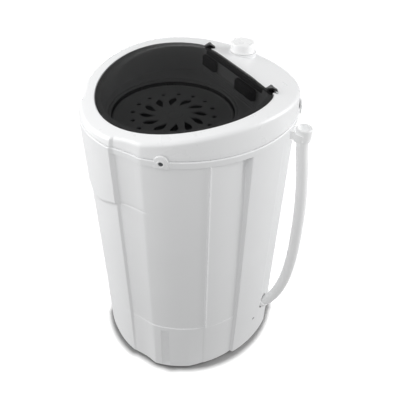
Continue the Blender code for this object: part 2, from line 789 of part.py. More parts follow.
def brake_drum():
    low, high = BRAKE_Z, BRAKE_Z + 16 * MM
    profile = [
        (0.0, low),
        (BRAKE_RADIUS, low),
        (BRAKE_RADIUS, high),
        (SHAFT_RADIUS + GAP, high),
        (SHAFT_RADIUS + GAP, BRAKE_Z + 9.7 * MM),
        (0.0, BRAKE_Z + 9.7 * MM),
    ]
    return turned("brake_drum", profile, iron())


def motor():
    low = BRACKET_Z + BRACKET_WALL + GAP
    high = MOTOR_TOP_Z
    middle = (low + high) / 2
    inner = MOTOR_RADIUS - 3 * MM
    turned(
        "motor_lower_bell",
        [
            (0.0, low),
            (MOTOR_RADIUS, low),
            (MOTOR_RADIUS, middle),
            (inner, middle),
            (inner, low + 3 * MM),
            (0.0, low + 3 * MM),
        ],
        iron(),
    )
    collar = SHAFT_RADIUS + 1.2 * MM
    turned(
        "motor_upper_bell",
        [
            (collar, high),
            (MOTOR_RADIUS - 4 * MM, high),
            (MOTOR_RADIUS, high - 4 * MM),
            (MOTOR_RADIUS, middle + GAP),
            (inner, middle + GAP),
            (inner, high - 5 * MM),
            (collar, high - 5 * MM),
        ],
        iron(),
    )
    bore, stack = 36.2 * MM, 20 * MM
    turned(
        "stator",
        [
            (bore, middle - stack),
            (inner - GAP, middle - stack),
            (inner - GAP, middle + stack),
            (bore, middle + stack),
        ],
        steel(),
    )
    core, stack = bore - 1 * MM, 19 * MM
    turned(
        "rotor",
        [
            (0.0, low + 4 * MM),
            (0.007, low + 4 * MM),
            (0.007, middle - stack),
            (core, middle - stack),
            (core, middle + stack),
            (SHAFT_RADIUS, middle + stack),
            (SHAFT_RADIUS, BRAKE_Z - GAP),
            (0.0, BRAKE_Z - GAP),
        ],
        steel(),
    )


def spring_spots():
    return [at(60 + 120 * i, SPRING_CIRCLE, 0.0, DRUM_Y) for i in range(3)]


def motor_bracket():
    """The plate that carries the motor, with a round ear over each spring."""
    outline = []
    for i in range(36):
        angle = 10.0 * i
        lobe = 0.5 - 0.5 * math.cos(math.radians(3 * angle))
        point = at(angle, 0.066 + 0.022 * lobe, 0.0, DRUM_Y)
        outline.append((point.x, point.y))
    return slab("motor_bracket", outline, BRACKET_Z, BRACKET_Z + BRACKET_WALL, iron())


def springs():
    for i, spot in enumerate(spring_spots(), 1):
        line = coil(spot, SPRING_RADIUS, 4, 9, 0.033, BRACKET_Z - 1.8 * MM)
        tube(f"suspension_spring_{i}", line, 1.3 * MM, steel(), resolution=1)


def bearing():
    """The sleeve and bush that guide the shaft under the tub, and the bellows that keeps water in."""
    low, high = 0.198, DRUM_FLOOR_Z - 11 * MM
    bore, bush_radius = SHAFT_RADIUS + 0.05 * MM, 9.5 * MM
    turned(
        "shaft_bush",
        [(bore, low), (bush_radius, low), (bush_radius, high), (bore, high)],
        bronze(),
    )
    turned(
        "bearing_sleeve",
        [
            (bush_radius + GAP, low),
            (0.015, low),
            (0.015, high),
            (bush_radius + GAP, high),
        ],
        iron(),
    )
    wall, rim, hub = 1.6 * MM, 39.6 * MM, 15.4 * MM
    top, bend = TUB_FLOOR_Z + 3 * MM, TUB_FLOOR_Z - 4 * MM
    crest, trough = TUB_FLOOR_Z - 3 * MM, TUB_FLOOR_Z - 9 * MM
    outer = [(rim, top), (rim, bend), (0.033, trough), (0.029, crest), (0.022, trough), (0.017, trough)]
    inner = [(hub, trough), (hub, trough + wall), (0.0225, trough + wall), (0.029, crest + wall + 2 * GAP)]
    inner += [(0.0325, trough + 2 * wall), (rim - wall, bend + wall), (rim - wall, top)]
    turned("bellows_seal", outer + inner, rubber())


def brake():
    """A lever on a post beside the brake drum. Its pad swings in against the drum as the lid opens."""
    low, high = BRAKE_Z + 5 * MM, BRAKE_Z + 9 * MM
    foot = BRACKET_Z + BRACKET_WALL + GAP
    x, y = BRAKE_POST
    rod("brake_post", (x, y, foot), (x, y, high + 3 * MM), 3.0 * MM, steel(), segments=12)
    eye, half = 7 * MM, 4.5 * MM
    neck, tip = 14 * MM, LEVER_LENGTH
    outline = arc(eye, 180, 360, 8) + [(half, neck), (half, tip), (-half, tip), (-half, neck)]
    lever = slab("brake_lever", outline, low, high, steel(), Matrix.Translation(Vector((x, y, 0.0))))
    bore = rod("lever_eye", (x, y, low - 0.01), (x, y, high + 0.01), 3.3 * MM, steel(), segments=12)
    cut(lever, bore)
    inner = BRAKE_RADIUS + 3.0 * MM
    face = arc(inner, -10, 10, 4, (0.0, DRUM_Y))
    back = x - half - GAP
    slab("brake_pad", face + [(back, face[-1][1]), (back, face[0][1])], low - 4 * MM, high + 4 * MM, rubber())
    turns = 3
    line = coil(Vector((x, y, 0.0)), 5.4 * MM, turns, 9, foot + 1.4 * MM, low - 1.6 * MM)
    tube("brake_spring", line, 0.9 * MM, steel(), resolution=1)


def coil(centre, radius, turns, corners, low, high):
    """Points along a coil that climbs from low to high."""
    count = turns * corners
    line = []
    for i in range(count + 1):
        turn = 2 * math.pi * turns * i / count
        rise = low + (high - low) * i / count
        line.append(centre + Vector((radius * math.cos(turn), radius * math.sin(turn), rise)))
    return line


def base_plate():
    """The floor of the cabinet, with posts for the springs and for the side screws."""
    low, high = 0.0112, 0.0152
    inset = WALL + 0.9 * MM
    rings = [
        [Vector((0.0, 0.0, low))],
        cabinet_ring(FOOT, inset, low),
        cabinet_ring(FOOT, inset, high),
        [Vector((0.0, 0.0, high))],
    ]
    made = loft("base_plate", rings, black())
    for i, spot in enumerate(spring_spots()):
        foot, top = spot + Vector((0.0, 0.0, 0.013)), spot + Vector((0.0, 0.0, 0.031))
        fuse(made, rod(f"spring_post_{i}", foot, top, 0.012, black()))
    for angle in SIDE_SCREW_ANGLES:
        reach = wall_reach(angle, PLINTH, SIDE_SCREW_Z) - WALL - POST_GAP
        outline = ((-8 * MM, 0.012), (8 * MM, 0.012), (8 * MM, 0.096), (-8 * MM, 0.096))
        post = slab(f"screw_post_{angle:.0f}", outline, -12 * MM, 0.0, black(), standing(angle, reach, 0.0))
        fuse(made, post)
        hole_reach = wall_reach(angle, PLINTH, SIDE_SCREW_Z)
        name = f"post_hole_{angle:.0f}"
        cut(made, screw_hole(name, angle, hole_reach, SIDE_SCREW_Z, SCREW_BORE, SCREW_DEPTH))
    return made


def side_screws():
    for i, angle in enumerate(SIDE_SCREW_ANGLES, 1):
        out, reach = outward(angle), wall_reach(angle, PLINTH, SIDE_SCREW_Z)
        lift = Vector((0.0, 0.0, SIDE_SCREW_Z))
        rod(
            f"side_screw_{i}",
            out * (reach - 1.6 * MM) + lift,
            out * (reach - 13.0 * MM) + lift,
            1.6 * MM,
            steel(),
            segments=12,
            head=(2.8 * MM, 2.4 * MM),
        )


def feet():
    for name, angle in FOOT_ANGLES.items():
        spot = at(angle, FOOT_REACH, 0.0)
        profile = [(0.0, 0.0), (0.0125, 0.0), (0.0145, 0.002), (0.0150, 0.0109), (0.0, 0.0109)]
        turned(f"foot_{name}", profile, rubber(), centre=(spot.x, spot.y), segments=24)


# Controls and wiring


def knob_and_timer():
    base = BOSS_TOP_Z + 0.5 * MM
    radius, height = KNOB_RADIUS, KNOB_HEIGHT
    profile = [
        (0.0, base + height - 4 * MM),
        (3.0 * MM + GAP, base + height - 4 * MM),
        (3.0 * MM + GAP, base),
        (radius, base),
        (radius, base + 3 * MM),
        (radius - 0.7 * MM, base + 3.7 * MM),
        (radius - 1.1 * MM, base + height - 1.5 * MM),
        (radius - 2.6 * MM, base + height),
        (0.0, base + height),
    ]
    knob = turned("timer_knob", profile, white(), centre=(KNOB_X, KNOB_Y))
    groove = block(
        "pointer_groove",
        (KNOB_X - 0.8 * MM, KNOB_Y - radius - 1 * MM, base + height - 1.2 * MM),
        (KNOB_X + 0.8 * MM, KNOB_Y - 6 * MM, base + height + 1 * MM),
        white(),
    )
    cut(knob, groove)
    shaft_low = 0.5395
    shaft_high = base + height - 5 * MM
    rod("timer_shaft", (KNOB_X, KNOB_Y, shaft_low), (KNOB_X, KNOB_Y, shaft_high), 3.0 * MM, steel())
    half = 0.0175
    block(
        "timer_body",
        (KNOB_X - half, KNOB_Y - half, 0.512),
        (KNOB_X + half, KNOB_Y + half - 4 * MM, 0.539),
        black(),
    )


def lid_switch_and_brake_box():
    """Two black boxes on the well's rear wall: the lid switch, left, and the brake's actuator, right."""
    for name, low, high in (("lid_switch", -0.087, -0.047), ("brake_actuator", 0.020, 0.072)):
        block(name, (low, BOX_BACK - BOX_DEPTH, BOX_LOW_Z), (high, BOX_BACK, BOX_HIGH_Z), black())


def cable_mouth():
    """Where the brake cable leaves its actuator, to pass through the well's rear wall."""
    return Vector((0.060, BOX_BACK + GAP, 0.5555))


def wiring():
    x, y = BRAKE_POST
    route = [
        (x + 5.2 * MM, y + LEVER_LENGTH - 6 * MM, BRAKE_Z + 7 * MM),
        (0.089, 0.0350, 0.1825),
        (0.112, 0.048, 0.195),
        (0.119, 0.075, 0.235),
        (0.114, 0.092, 0.300),
        (0.108, 0.098, 0.380),
        (0.094, 0.104, 0.460),
        (0.074, 0.107, 0.515),
        (0.065, 0.1055, 0.538),
        (0.060, 0.0990, 0.5550),
        (0.060, 0.0900, 0.5555),
        cable_mouth(),
    ]
    tube("brake_cable", curve_through(route, 0.014), 1.6 * MM, black())
    mouth, out = gland_point(), outward(GLAND_ANGLE)
    harness = [
        (KNOB_X, KNOB_Y - 0.006, 0.5117),
        (KNOB_X + 0.002, KNOB_Y - 0.007, 0.470),
        (KNOB_X + 0.006, KNOB_Y - 0.008, 0.380),
        (KNOB_X + 0.012, KNOB_Y - 0.006, 0.260),
        (KNOB_X + 0.030, KNOB_Y - 0.004, 0.140),
        (KNOB_X + 0.070, KNOB_Y - 0.004, 0.080),
        mouth - out * 28 * MM + Vector((0.0, 0.0, 3 * MM)),
        mouth - out * 10.5 * MM,
    ]
    tube("power_harness", curve_through(harness, 0.022), 3.0 * MM, black())
    rod("capacitor", (0.030, 0.108, 0.0155), (0.030, 0.108, 0.080), 0.017, steel(), segments=20)
    start, end = mouth + out * 3.2 * MM, mouth - out * 10 * MM
    gland = rod("cord_gland", start, end, 6.0 * MM, rubber(), head=(9.0 * MM, 2.9 * MM))
    cut(gland, rod("gland_bore", start + out * 0.01, end - out * 0.01, 3.4 * MM, rubber(), segments=12))


# Drain hose


def hose_top():
    return at(HOSE_TOP_ANGLE, HOSE_TOP_REACH, HOSE_TOP_Z)


def hose_route():
    """The hose from the wall up to its cup: it bows out from the cabinet, then comes back to the clip."""
    middle, along = outlet_point(), outlet_direction()
    free = (
        (121.1, 0.2000, 0.1560),
        (121.3, 0.2110, 0.2040),
        (121.6, 0.2160, 0.2630),
        (122.1, 0.2160, 0.3280),
        (122.8, 0.2125, 0.3990),
        (123.6, 0.2055, 0.4560),
        (HOSE_TOP_ANGLE, 0.1995, 0.4940),
        (HOSE_TOP_ANGLE, HOSE_TOP_REACH, HOSE_TOP_Z - 9 * MM),
        (HOSE_TOP_ANGLE, HOSE_TOP_REACH, HOSE_TOP_Z),
    )
    return [middle + along * 2 * MM, middle + along * 16 * MM] + [at(*point) for point in free]


def drain_hose():
    tube("drain_hose", curve_through(hose_route(), 0.024), HOSE_RADIUS, hose_plastic(), resolution=3)
    middle, along = outlet_point(), outlet_direction()
    start, end = middle - along * 5 * MM, middle + along * 4 * MM
    grommet = rod("hose_grommet", start, end, 12.3 * MM, rubber(), segments=20)
    start, end = start - along * 10 * MM, end + along * 10 * MM
    cut(grommet, rod("grommet_bore", start, end, HOSE_RADIUS + GAP, rubber(), segments=20))
    top = spigot_top() - SPIGOT_DROP - Vector((0.0, 0.0, GAP))
    down = Vector((0.0, 0.0, -1.0))
    inside = [
        top,
        top + down * 12 * MM,
        top + down * 45 * MM + outward(OUTLET_ANGLE) * 3 * MM,
        at(OUTLET_ANGLE, 0.108, 0.105),
        at(OUTLET_ANGLE, 0.126, 0.074),
        at(OUTLET_ANGLE, 0.147, 0.075),
        middle - along * 16 * MM,
        middle - along * 7 * MM,
    ]
    tube("inner_drain_hose", curve_through(inside, 0.014), 8.6 * MM, rubber(), resolution=2)


def hose_end_cup():
    """The open collar on the hose's end."""
    top, radius = hose_top(), HOSE_RADIUS + 0.4 * MM
    low, throat, high = HOSE_TOP_Z - CUP_SLEEVE, HOSE_TOP_Z + 2 * GAP, HOSE_TOP_Z + CUP_DEPTH
    profile = [
        (radius, low),
        (radius + 2.4 * MM, low),
        (radius + 2.9 * MM, high - 2 * MM),
        (radius + 2.3 * MM, high),
        (radius - 0.4 * MM, high),
        (radius - 1.4 * MM, throat + 2 * MM),
        (radius - 1.4 * MM, throat),
        (radius, throat),
    ]
    return turned("hose_end_cup", profile, hose_plastic(), centre=(top.x, top.y), segments=24)


def hose_clip():
    """A cradle, open outwards, that holds the hose by its cup, on an arm from the cabinet's strip."""
    inner = HOSE_RADIUS + 3.9 * MM
    outer = inner + 2.0 * MM
    opening = 80.0
    wall = wall_reach(HOSE_TOP_ANGLE, RIM, SEAM_Z) + GAP - HOSE_TOP_REACH
    arm, foot = 5.0 * MM, 9.0 * MM
    hook = arc(outer, opening, 150, 6)
    outline = hook + [
        (wall, foot),
        (wall, -foot),
    ]
    outline += [(x, -y) for x, y in reversed(hook)]
    outline += arc(inner, -opening, -360 + opening, 12)
    out = outward(HOSE_TOP_ANGLE)
    side = Vector((0.0, 0.0, 1.0)).cross(out)
    top = hose_top()
    place = Matrix((out, side, Vector((0.0, 0.0, 1.0)))).transposed().to_4x4()
    place = Matrix.Translation(Vector((top.x, top.y, 0.0))) @ place
    low = HOSE_TOP_Z - CUP_SLEEVE + 1 * MM
    return slab("hose_clip", outline, low, low + 14 * MM, white(), place)


def build():
    body_shell()
    top_cover()
    cover_screws()
    splash_ring()
    lid()
    hinge_pins()
    tub()
    drum()
    press_plate()
    drive_shaft()
    brake_drum()
    motor()
    motor_bracket()
    springs()
    bearing()
    brake()
    base_plate()
    side_screws()
    feet()
    knob_and_timer()
    lid_switch_and_brake_box()
    wiring()
    drain_hose()
    hose_end_cup()
    hose_clip()


for leftover in list(bpy.data.objects):
    bpy.data.objects.remove(leftover)
build()
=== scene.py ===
"""Looks for the compact top-load washer and spin dryer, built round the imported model.

Angles round the cabinet are in degrees, from 0 at the front (-Y) to 90 at +X and 180 at the rear.
"""

import json
from math import cos, exp, hypot, pi, radians, sin

import bmesh
import bpy
from mathutils import Matrix, Vector


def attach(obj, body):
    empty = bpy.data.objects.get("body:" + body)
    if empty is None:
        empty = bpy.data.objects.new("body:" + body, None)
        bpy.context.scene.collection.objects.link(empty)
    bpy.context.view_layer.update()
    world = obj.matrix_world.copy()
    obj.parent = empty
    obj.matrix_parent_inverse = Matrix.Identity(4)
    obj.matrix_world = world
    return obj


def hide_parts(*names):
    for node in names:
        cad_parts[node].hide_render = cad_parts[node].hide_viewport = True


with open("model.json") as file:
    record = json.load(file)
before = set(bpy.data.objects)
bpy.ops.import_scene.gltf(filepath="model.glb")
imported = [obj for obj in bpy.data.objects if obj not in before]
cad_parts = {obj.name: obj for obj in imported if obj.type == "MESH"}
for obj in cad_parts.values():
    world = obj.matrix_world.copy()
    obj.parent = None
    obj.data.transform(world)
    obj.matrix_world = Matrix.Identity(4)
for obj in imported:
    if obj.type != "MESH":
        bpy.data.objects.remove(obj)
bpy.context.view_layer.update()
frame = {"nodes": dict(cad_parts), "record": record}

MM = 0.001
GAP = 0.3 * MM
UP = Vector((0.0, 0.0, 1.0))

# Cabinet, as in the model's own source
HALF_WIDTH = 0.175
HALF_DEPTH = 0.188
SHELL_FOOT_Z = 0.007
PLINTH_Z = 0.131
SEAM_Z = 0.533
STRIP_LOW_Z = 0.522
DRAFT = 0.004
WALL = 2.6 * MM
CROWN_Z = 0.5756
CROWN_SLOPE = 0.028
CROWN_CURVE = 0.8
RIM, UPPER, LOWER, PLINTH, FOOT = 1, 2, 3, 4, 5
PANELS = (
    # angle from the front, and the setback in millimetres at the rim, upper, lower, plinth and foot
    (0, 0, 0, 3, 3, 3),
    (20.4, 0, 0, 3, 2.6, 1),
    (21.6, 4, 6.4, 6.4, 6, 2.2),
    (30, 5.6, 7.6, 7, 6.4, 4),
    (36.6, 0.6, 3, 2.8, 1.6, -2.6),
    (37.8, 0, 2.6, 2.6, 1.2, -4),
    (60, 0, 2.6, 2.6, 1, -1.4),
    (69.2, 0, 2.6, 2.6, 1, 3.2),
    (70, 0, 0.4, 0.4, 0.2, 2.8),
    (71.2, 0, 0.4, 0.4, 0.2, 3),
    (91.8, 0, 8, 6, 5, 8),
    (92.8, 0, 0.2, 0.2, 0, 3),
    (116.4, 0, 0, 0, 0, 2.6),
    (117.6, 0, 1.4, 1.4, 1, 2.4),
    (131, 0, 1.4, 1.4, 1, 1),
    (132.2, 0, 5, 5, 4, 4),
    (158.8, 0, 5, 5, 4, 4),
    (160, 0, 0, 0, 0, 0),
    (180, 0, 0, 0, 0, 0),
)

# Top cover and lid
COVER_INSET = 1.8 * MM
TOP_INSET = 3.0 * MM
EDGE_ROUND = 6 * MM
COVER_WALL = 2.6 * MM
LID_Y = -0.0108
LID_RADIUS = 0.1475
LID_REAR = 0.0905
LID_GAP = 1.0 * MM
REBATE = 3.2 * MM
LEDGE = 10.0 * MM
WELL_MOUTH = 0.1085
WELL_FLOOR_Z = 0.527
HINGE_Y = 0.0965
HINGE_RADIUS = 5.0 * MM
EAR_INNER_X = 0.088
EAR_OUTER_X = 0.102
PIN_RADIUS = 1.6 * MM

# Drum and press plate
DRUM_Y = -0.033
DRUM_RADIUS = 0.1192
DRUM_FLOOR_Z = 0.238
DRUM_TOP_Z = 0.5165
DRUM_MOUTH = 0.1065
DRUM_WALL = 0.9 * MM
SHAFT_RADIUS = 6.0 * MM
TUB_TOP_Z = 0.5206
TUB_FLANGE = 0.1395
PLATE_RADIUS = 0.1025
PLATE_TOP_Z = 0.515
PLATE_WALL = 2.4 * MM
PETALS = 12
PETAL_FIRST = -84.0
PETAL_NEAR = 0.026
PETAL_FAR = 0.058
PETAL_HALF_WIDTH = 7.2 * MM
PETAL_SWIRL = 13.0
OVALS = 16
OVAL_FIRST = -80.5
OVAL_REACH = 0.0695
OVAL_RADIUS = 4.3 * MM

# Controls
BOX_BACK = LID_REAR - 8.4 * MM
BOX_DEPTH = 9.0 * MM
BOX_LOW_Z = 0.546
BOX_HIGH_Z = 0.564
KNOB_X = -0.058
KNOB_Y = 0.142
KNOB_RADIUS = 0.0225
KNOB_HEIGHT = 0.0165
KNOB_HOLE_RADIUS = 0.0245
BOSS_TOP_Z = 0.5684

# Drain hose
HOSE_RADIUS = 9.8 * MM
HOSE_TOP_ANGLE = 124.0
HOSE_TOP_REACH = 0.198
HOSE_TOP_Z = 0.520
CUP_SLEEVE = 7.0 * MM
OUTLET_ANGLE = 121.0
OUTLET_Z = 0.107
OUTLET_PITCH = 50.0

# Fasteners and feet
TAB_ANGLES = (47.6, -47.6, 146.0, -146.0)
TAB_RADIUS = 10.5 * MM
TAB_Z = 0.5325
TAB_SCREW_Z = TAB_Z - 2.5 * MM
TAB_HOLE_RADIUS = 3.7 * MM
SIDE_SCREW_ANGLES = (110.5, -110.5, 166.0)
SIDE_SCREW_Z = 0.079
GLAND_ANGLE = 180.0
GLAND_Z = 0.060
GLAND_RADIUS = 6.0 * MM
GROMMET_RADIUS = 12.5 * MM
FOOT_ANGLES = {"front_right": 40.0, "front_left": -40.0, "rear_right": 140.0, "rear_left": -140.0}
FOOT_REACH = 0.150

# Detail that only the visual shell has
SMOOTH_WINDOW = 0.22  # degrees either side, over which the panels' corners are rounded
WIDE_WINDOW = 4.0
HOLLOW_START = 22.1  # the hollow panel, as the angle from the front
HOLLOW_END = 36.1
GRIP_Z = 0.400  # the step between the upper and lower wall, at the front
GRIP_RISE = 0.026
SLOT_START = 42.0
SLOT_END = 47.0
SLOT_TOP_Z = 0.121
SLOT_DEPTH = 5.0 * MM
SLOT_LIP_Z = 0.0085
POCKET_DEPTH = 4.5 * MM
POCKET_LOW_Z = 0.430
POCKET_HIGH_Z = 0.512
RIB_ANGLE = 70.5
RIB_HALF_WIDTH = 0.42
RIB_HEIGHT = 1.5 * MM
GRIP_GROOVE = 0.7 * MM
GRIP_HALF_WIDTH = 1.7 * MM


# Camera


def look():
    """The camera, placed and framed as for a product picture from the front right and above."""
    camera = bpy.data.objects.new("camera", bpy.data.cameras.new("camera"))
    back = Vector((0.69112, -0.38381, 0.61241))
    camera.location = (0.63519, -0.35357, 0.94608)
    camera.rotation_euler = back.to_track_quat("Z", "Y").to_euler()
    camera.data.lens = 44.03
    camera.data.sensor_width = 36.0
    camera.data.shift_x = 0.025
    camera.data.shift_y = -0.075
    camera.data.clip_start = 0.01
    bpy.context.scene.collection.objects.link(camera)
    bpy.context.scene.camera = camera


# Formulas of the cabinet


def crown(y):
    """Height of the arched deck."""
    return CROWN_Z + CROWN_SLOPE * y - CROWN_CURVE * y * y


def from_front(angle):
    """The angle's size, measured from the front to either side."""
    return abs((angle + 180.0) % 360.0 - 180.0)


def setback(angle, level):
    """How far the panels set this level back from the oval."""
    turn = from_front(angle)
    for low, high in zip(PANELS, PANELS[1:]):
        if turn <= high[0]:
            share = (turn - low[0]) / (high[0] - low[0])
            return (low[level] + (high[level] - low[level]) * share) * MM
    return PANELS[-1][level] * MM


def soft_setback(angle, level):
    """The setback with its corners rounded over, and the hollow panel's floor curved."""
    samples = 9
    turn = from_front(angle)
    window = max(SMOOTH_WINDOW, min(WIDE_WINDOW, turn - HOLLOW_START, HOLLOW_END - turn))
    total = 0.0
    for i in range(samples):
        total += setback(angle + window * (2 * i / (samples - 1) - 1), level)
    return total / samples


def oval(angle):
    """Reach of the cabinet's plain oval."""
    a = radians(angle)
    return 1 / hypot(sin(a) / HALF_WIDTH, cos(a) / HALF_DEPTH)


def wall_reach(angle, level, z, inset=0.0):
    """Reach of the wall's face at a level, or of a surface inset from it."""
    return oval(angle) - setback(angle, level) - DRAFT * (1 - z / SEAM_Z) - inset


def at(angle, reach, z, centre_y=0.0):
    a = radians(angle)
    return Vector((reach * sin(a), centre_y - reach * cos(a), z))


def outward(angle):
    a = radians(angle)
    return Vector((sin(a), -cos(a), 0.0))


def into_tab(angle, *depths):
    """Points on the line of a tab's screw, each this far inside the wall's face."""
    reach = wall_reach(angle, RIM, SEAM_Z)
    return [at(angle, reach - depth, TAB_SCREW_Z) for depth in depths]


def into_side(angle, *depths):
    """Points on the line of a side screw, each this far inside the wall's face."""
    reach = wall_reach(angle, PLINTH, SIDE_SCREW_Z)
    return [at(angle, reach - depth, SIDE_SCREW_Z) for depth in depths]


def wall_point(angle, z):
    """A point on the face of the plinth."""
    return at(angle, wall_reach(angle, PLINTH, z), z)


def d_reach(angle, radius, rear):
    """Reach of a D outline from the lid's middle: a circle cut straight at the rear, with soft corners."""
    back = -cos(radians(angle))
    if back <= 0.05:
        return radius
    sharpness = 40
    straight = (rear - LID_Y) / back
    return (radius**-sharpness + straight**-sharpness) ** (-1 / sharpness)


def smoothstep(low, high, value):
    share = min(1.0, max(0.0, (value - low) / (high - low)))
    return share * share * (3 - 2 * share)


def bump(value, middle, width):
    """A smooth bump of height one, about this wide to each side."""
    return exp(-(((value - middle) / width) ** 2))


# Mesh helpers


def linked(name, data):
    made = bpy.data.objects.new(name, data)
    bpy.context.scene.collection.objects.link(made)
    return made


def soften(mesh, smooth_under=35.0):
    """Shades a mesh smooth, with sharp edges where its faces turn by more than this."""
    mesh.shade_smooth()
    mesh.set_sharp_from_angle(angle=radians(smooth_under))


def mesh_object(name, bm, smooth_under=35.0):
    bmesh.ops.recalc_face_normals(bm, faces=bm.faces)
    mesh = bpy.data.meshes.new(name)
    bm.to_mesh(mesh)
    bm.free()
    soften(mesh, smooth_under)
    return linked(name, mesh)


def skin(bm, low, high):
    """Faces between two closed rows of corners. A row of one is a pole."""
    count = max(len(low), len(high))
    for i in range(count):
        j = (i + 1) % count
        corners = [low[i % len(low)], low[j % len(low)], high[j % len(high)], high[i % len(high)]]
        bm.faces.new(list(dict.fromkeys(corners)))


def loft(name, rings, closed=False, smooth_under=35.0):
    """Skins consecutive rings. closed joins the last ring to the first."""
    bm = bmesh.new()
    rows = [[bm.verts.new(point) for point in ring] for ring in rings]
    for low, high in list(zip(rows, rows[1:])) + ([(rows[-1], rows[0])] if closed else []):
        skin(bm, low, high)
    return mesh_object(name, bm, smooth_under)


def rounded(profile, fillet, steps=4, closed=False, origin=(0.0, 0.0)):
    """The profile with its corners filleted. It is in millimetres from the origin, which is in metres.

    A corner is (radius, height), or (radius, height, its own fillet).
    """
    corners = [Vector((origin[0] + corner[0] * MM, origin[1] + corner[1] * MM)) for corner in profile]
    count = len(corners)
    line = []
    for i, here in enumerate(corners):
        size = (profile[i][2] if len(profile[i]) > 2 else fillet) * MM
        if (not closed and i in (0, count - 1)) or size <= 0:
            line.append(tuple(here))
            continue
        before, after = corners[i - 1] - here, corners[(i + 1) % count] - here
        reach = min(size, 0.45 * before.length, 0.45 * after.length)
        start, end = here + before.normalized() * reach, here + after.normalized() * reach
        for k in range(steps + 1):
            t = k / steps
            line.append(tuple(start * (1 - t) ** 2 + here * 2 * t * (1 - t) + end * t * t))
    return line


def turned(name, profile, axis, segments, closed=False):
    """A solid turned about an upright axis. profile is (radius, z) from pole to pole, or a closed section."""
    x, y = axis
    rings = []
    for radius, z in profile:
        count = segments if radius > 0 else 1
        turn = [2 * pi * i / count for i in range(count)]
        rings.append([Vector((x + radius * sin(t), y - radius * cos(t), z)) for t in turn])
    return loft(name, rings, closed)


def lathe(name, profile, fillet, segments, origin=(0.0, 0.0), axis=(0.0, 0.0), steps=4, closed=True):
    """Turns a profile in millimetres, its corners filleted, about an upright axis."""
    return turned(name, rounded(profile, fillet, steps, closed, origin), axis, segments, closed)


def aim(made, start, direction):
    """Turns a piece drawn up +Z from the origin so that it runs from start along the direction."""
    made.data.transform(Vector(direction).to_track_quat("Z", "Y").to_matrix().to_4x4())
    made.data.transform(Matrix.Translation(start))
    return made


def slab(name, outline, low, high, matrix=None, bevel=0.0, segments=3):
    """An outline in x and y, extruded from low to high along z, its edges rounded, then placed."""
    bm = bmesh.new()
    rows = [[bm.verts.new((x, y, z)) for x, y in outline] for z in (low, high)]
    caps = [bm.faces.new(row) for row in rows]
    skin(bm, *rows)
    if bevel:
        edges = {edge for cap in caps for edge in cap.edges}
        sharp = radians(30)
        bm.normal_update()
        edges |= {edge for edge in bm.edges if edge.calc_face_angle(0.0) > sharp}
        bmesh.ops.bevel(bm, geom=list(edges), offset=bevel, segments=segments, profile=0.5, affect="EDGES")
    if matrix:
        bm.transform(matrix)
    return mesh_object(name, bm)


def block(name, low, high, bevel=0.0):
    """A box between two opposite corners."""
    corners = ((low[0], low[1]), (high[0], low[1]), (high[0], high[1]), (low[0], high[1]))
    return slab(name, corners, low[2], high[2], bevel=bevel)


def rod(start, end, radius, segments=32):
    """A round cutter."""
    start, end = Vector(start), Vector(end)
    length = (end - start).length
    profile = [(0, 0), (radius, 0), (radius, length), (0, length)]
    return aim(turned("cutter", profile, (0.0, 0.0), segments), start, end - start)


def arc(radius, start, end, steps, centre=(0.0, 0.0)):
    turns = [radians(start + (end - start) * i / steps) for i in range(steps + 1)]
    return [(centre[0] + radius * cos(t), centre[1] + radius * sin(t)) for t in turns]


def standing(angle, reach, z):
    """Places an outline drawn in x and y against the wall at this angle, with its own z outwards."""
    out = outward(angle)
    basis = Matrix((UP.cross(out), UP, out)).transposed().to_4x4()
    return Matrix.Translation(out * reach + UP * z) @ basis


def resulting_mesh(made):
    """The mesh that a curve or an object's modifiers give."""
    bpy.context.view_layer.update()
    evaluated = made.evaluated_get(bpy.context.evaluated_depsgraph_get())
    return bpy.data.meshes.new_from_object(evaluated)


def shape(target, steps, smooth_under=35.0):
    """Applies Boolean steps, each (operation, other object), and removes the other objects."""
    for operation, other in steps:
        step = target.modifiers.new("shape", "BOOLEAN")
        step.operation = operation
        step.solver = "MANIFOLD"
        step.object = other
    mesh = resulting_mesh(target)
    target.modifiers.clear()
    target.data = mesh
    for _, other in steps:
        bpy.data.objects.remove(other)
    soften(mesh, smooth_under)
    return target


def add_line(curve, line):
    """Adds a line of straight pieces to a curve."""
    spline = curve.splines.new("POLY")
    spline.points.add(len(line) - 1)
    for corner, point in zip(spline.points, line):
        corner.co = (*point, 1.0)
    return spline


def curve_through(points, spacing):
    """Points along a smooth curve through the route's points, about this far apart."""
    points = [Vector(p) for p in points]
    ends = [2 * points[0] - points[1]] + points + [2 * points[-1] - points[-2]]
    line = []
    for a, b, c, d in zip(ends, ends[1:], ends[2:], ends[3:]):
        steps = max(1, round((c - b).length / spacing))
        for i in range(steps):
            t = i / steps
            square, cube = 2 * a - 5 * b + 4 * c - d, 3 * b - a - 3 * c + d
            line.append(0.5 * (2 * b + (c - a) * t + square * t**2 + cube * t**3))
    return line + [points[-1]]


# Materials


def fill(node, values):
    """Sets the values of a node's own inputs."""
    for socket, value in values.items():
        node.inputs[socket].default_value = value


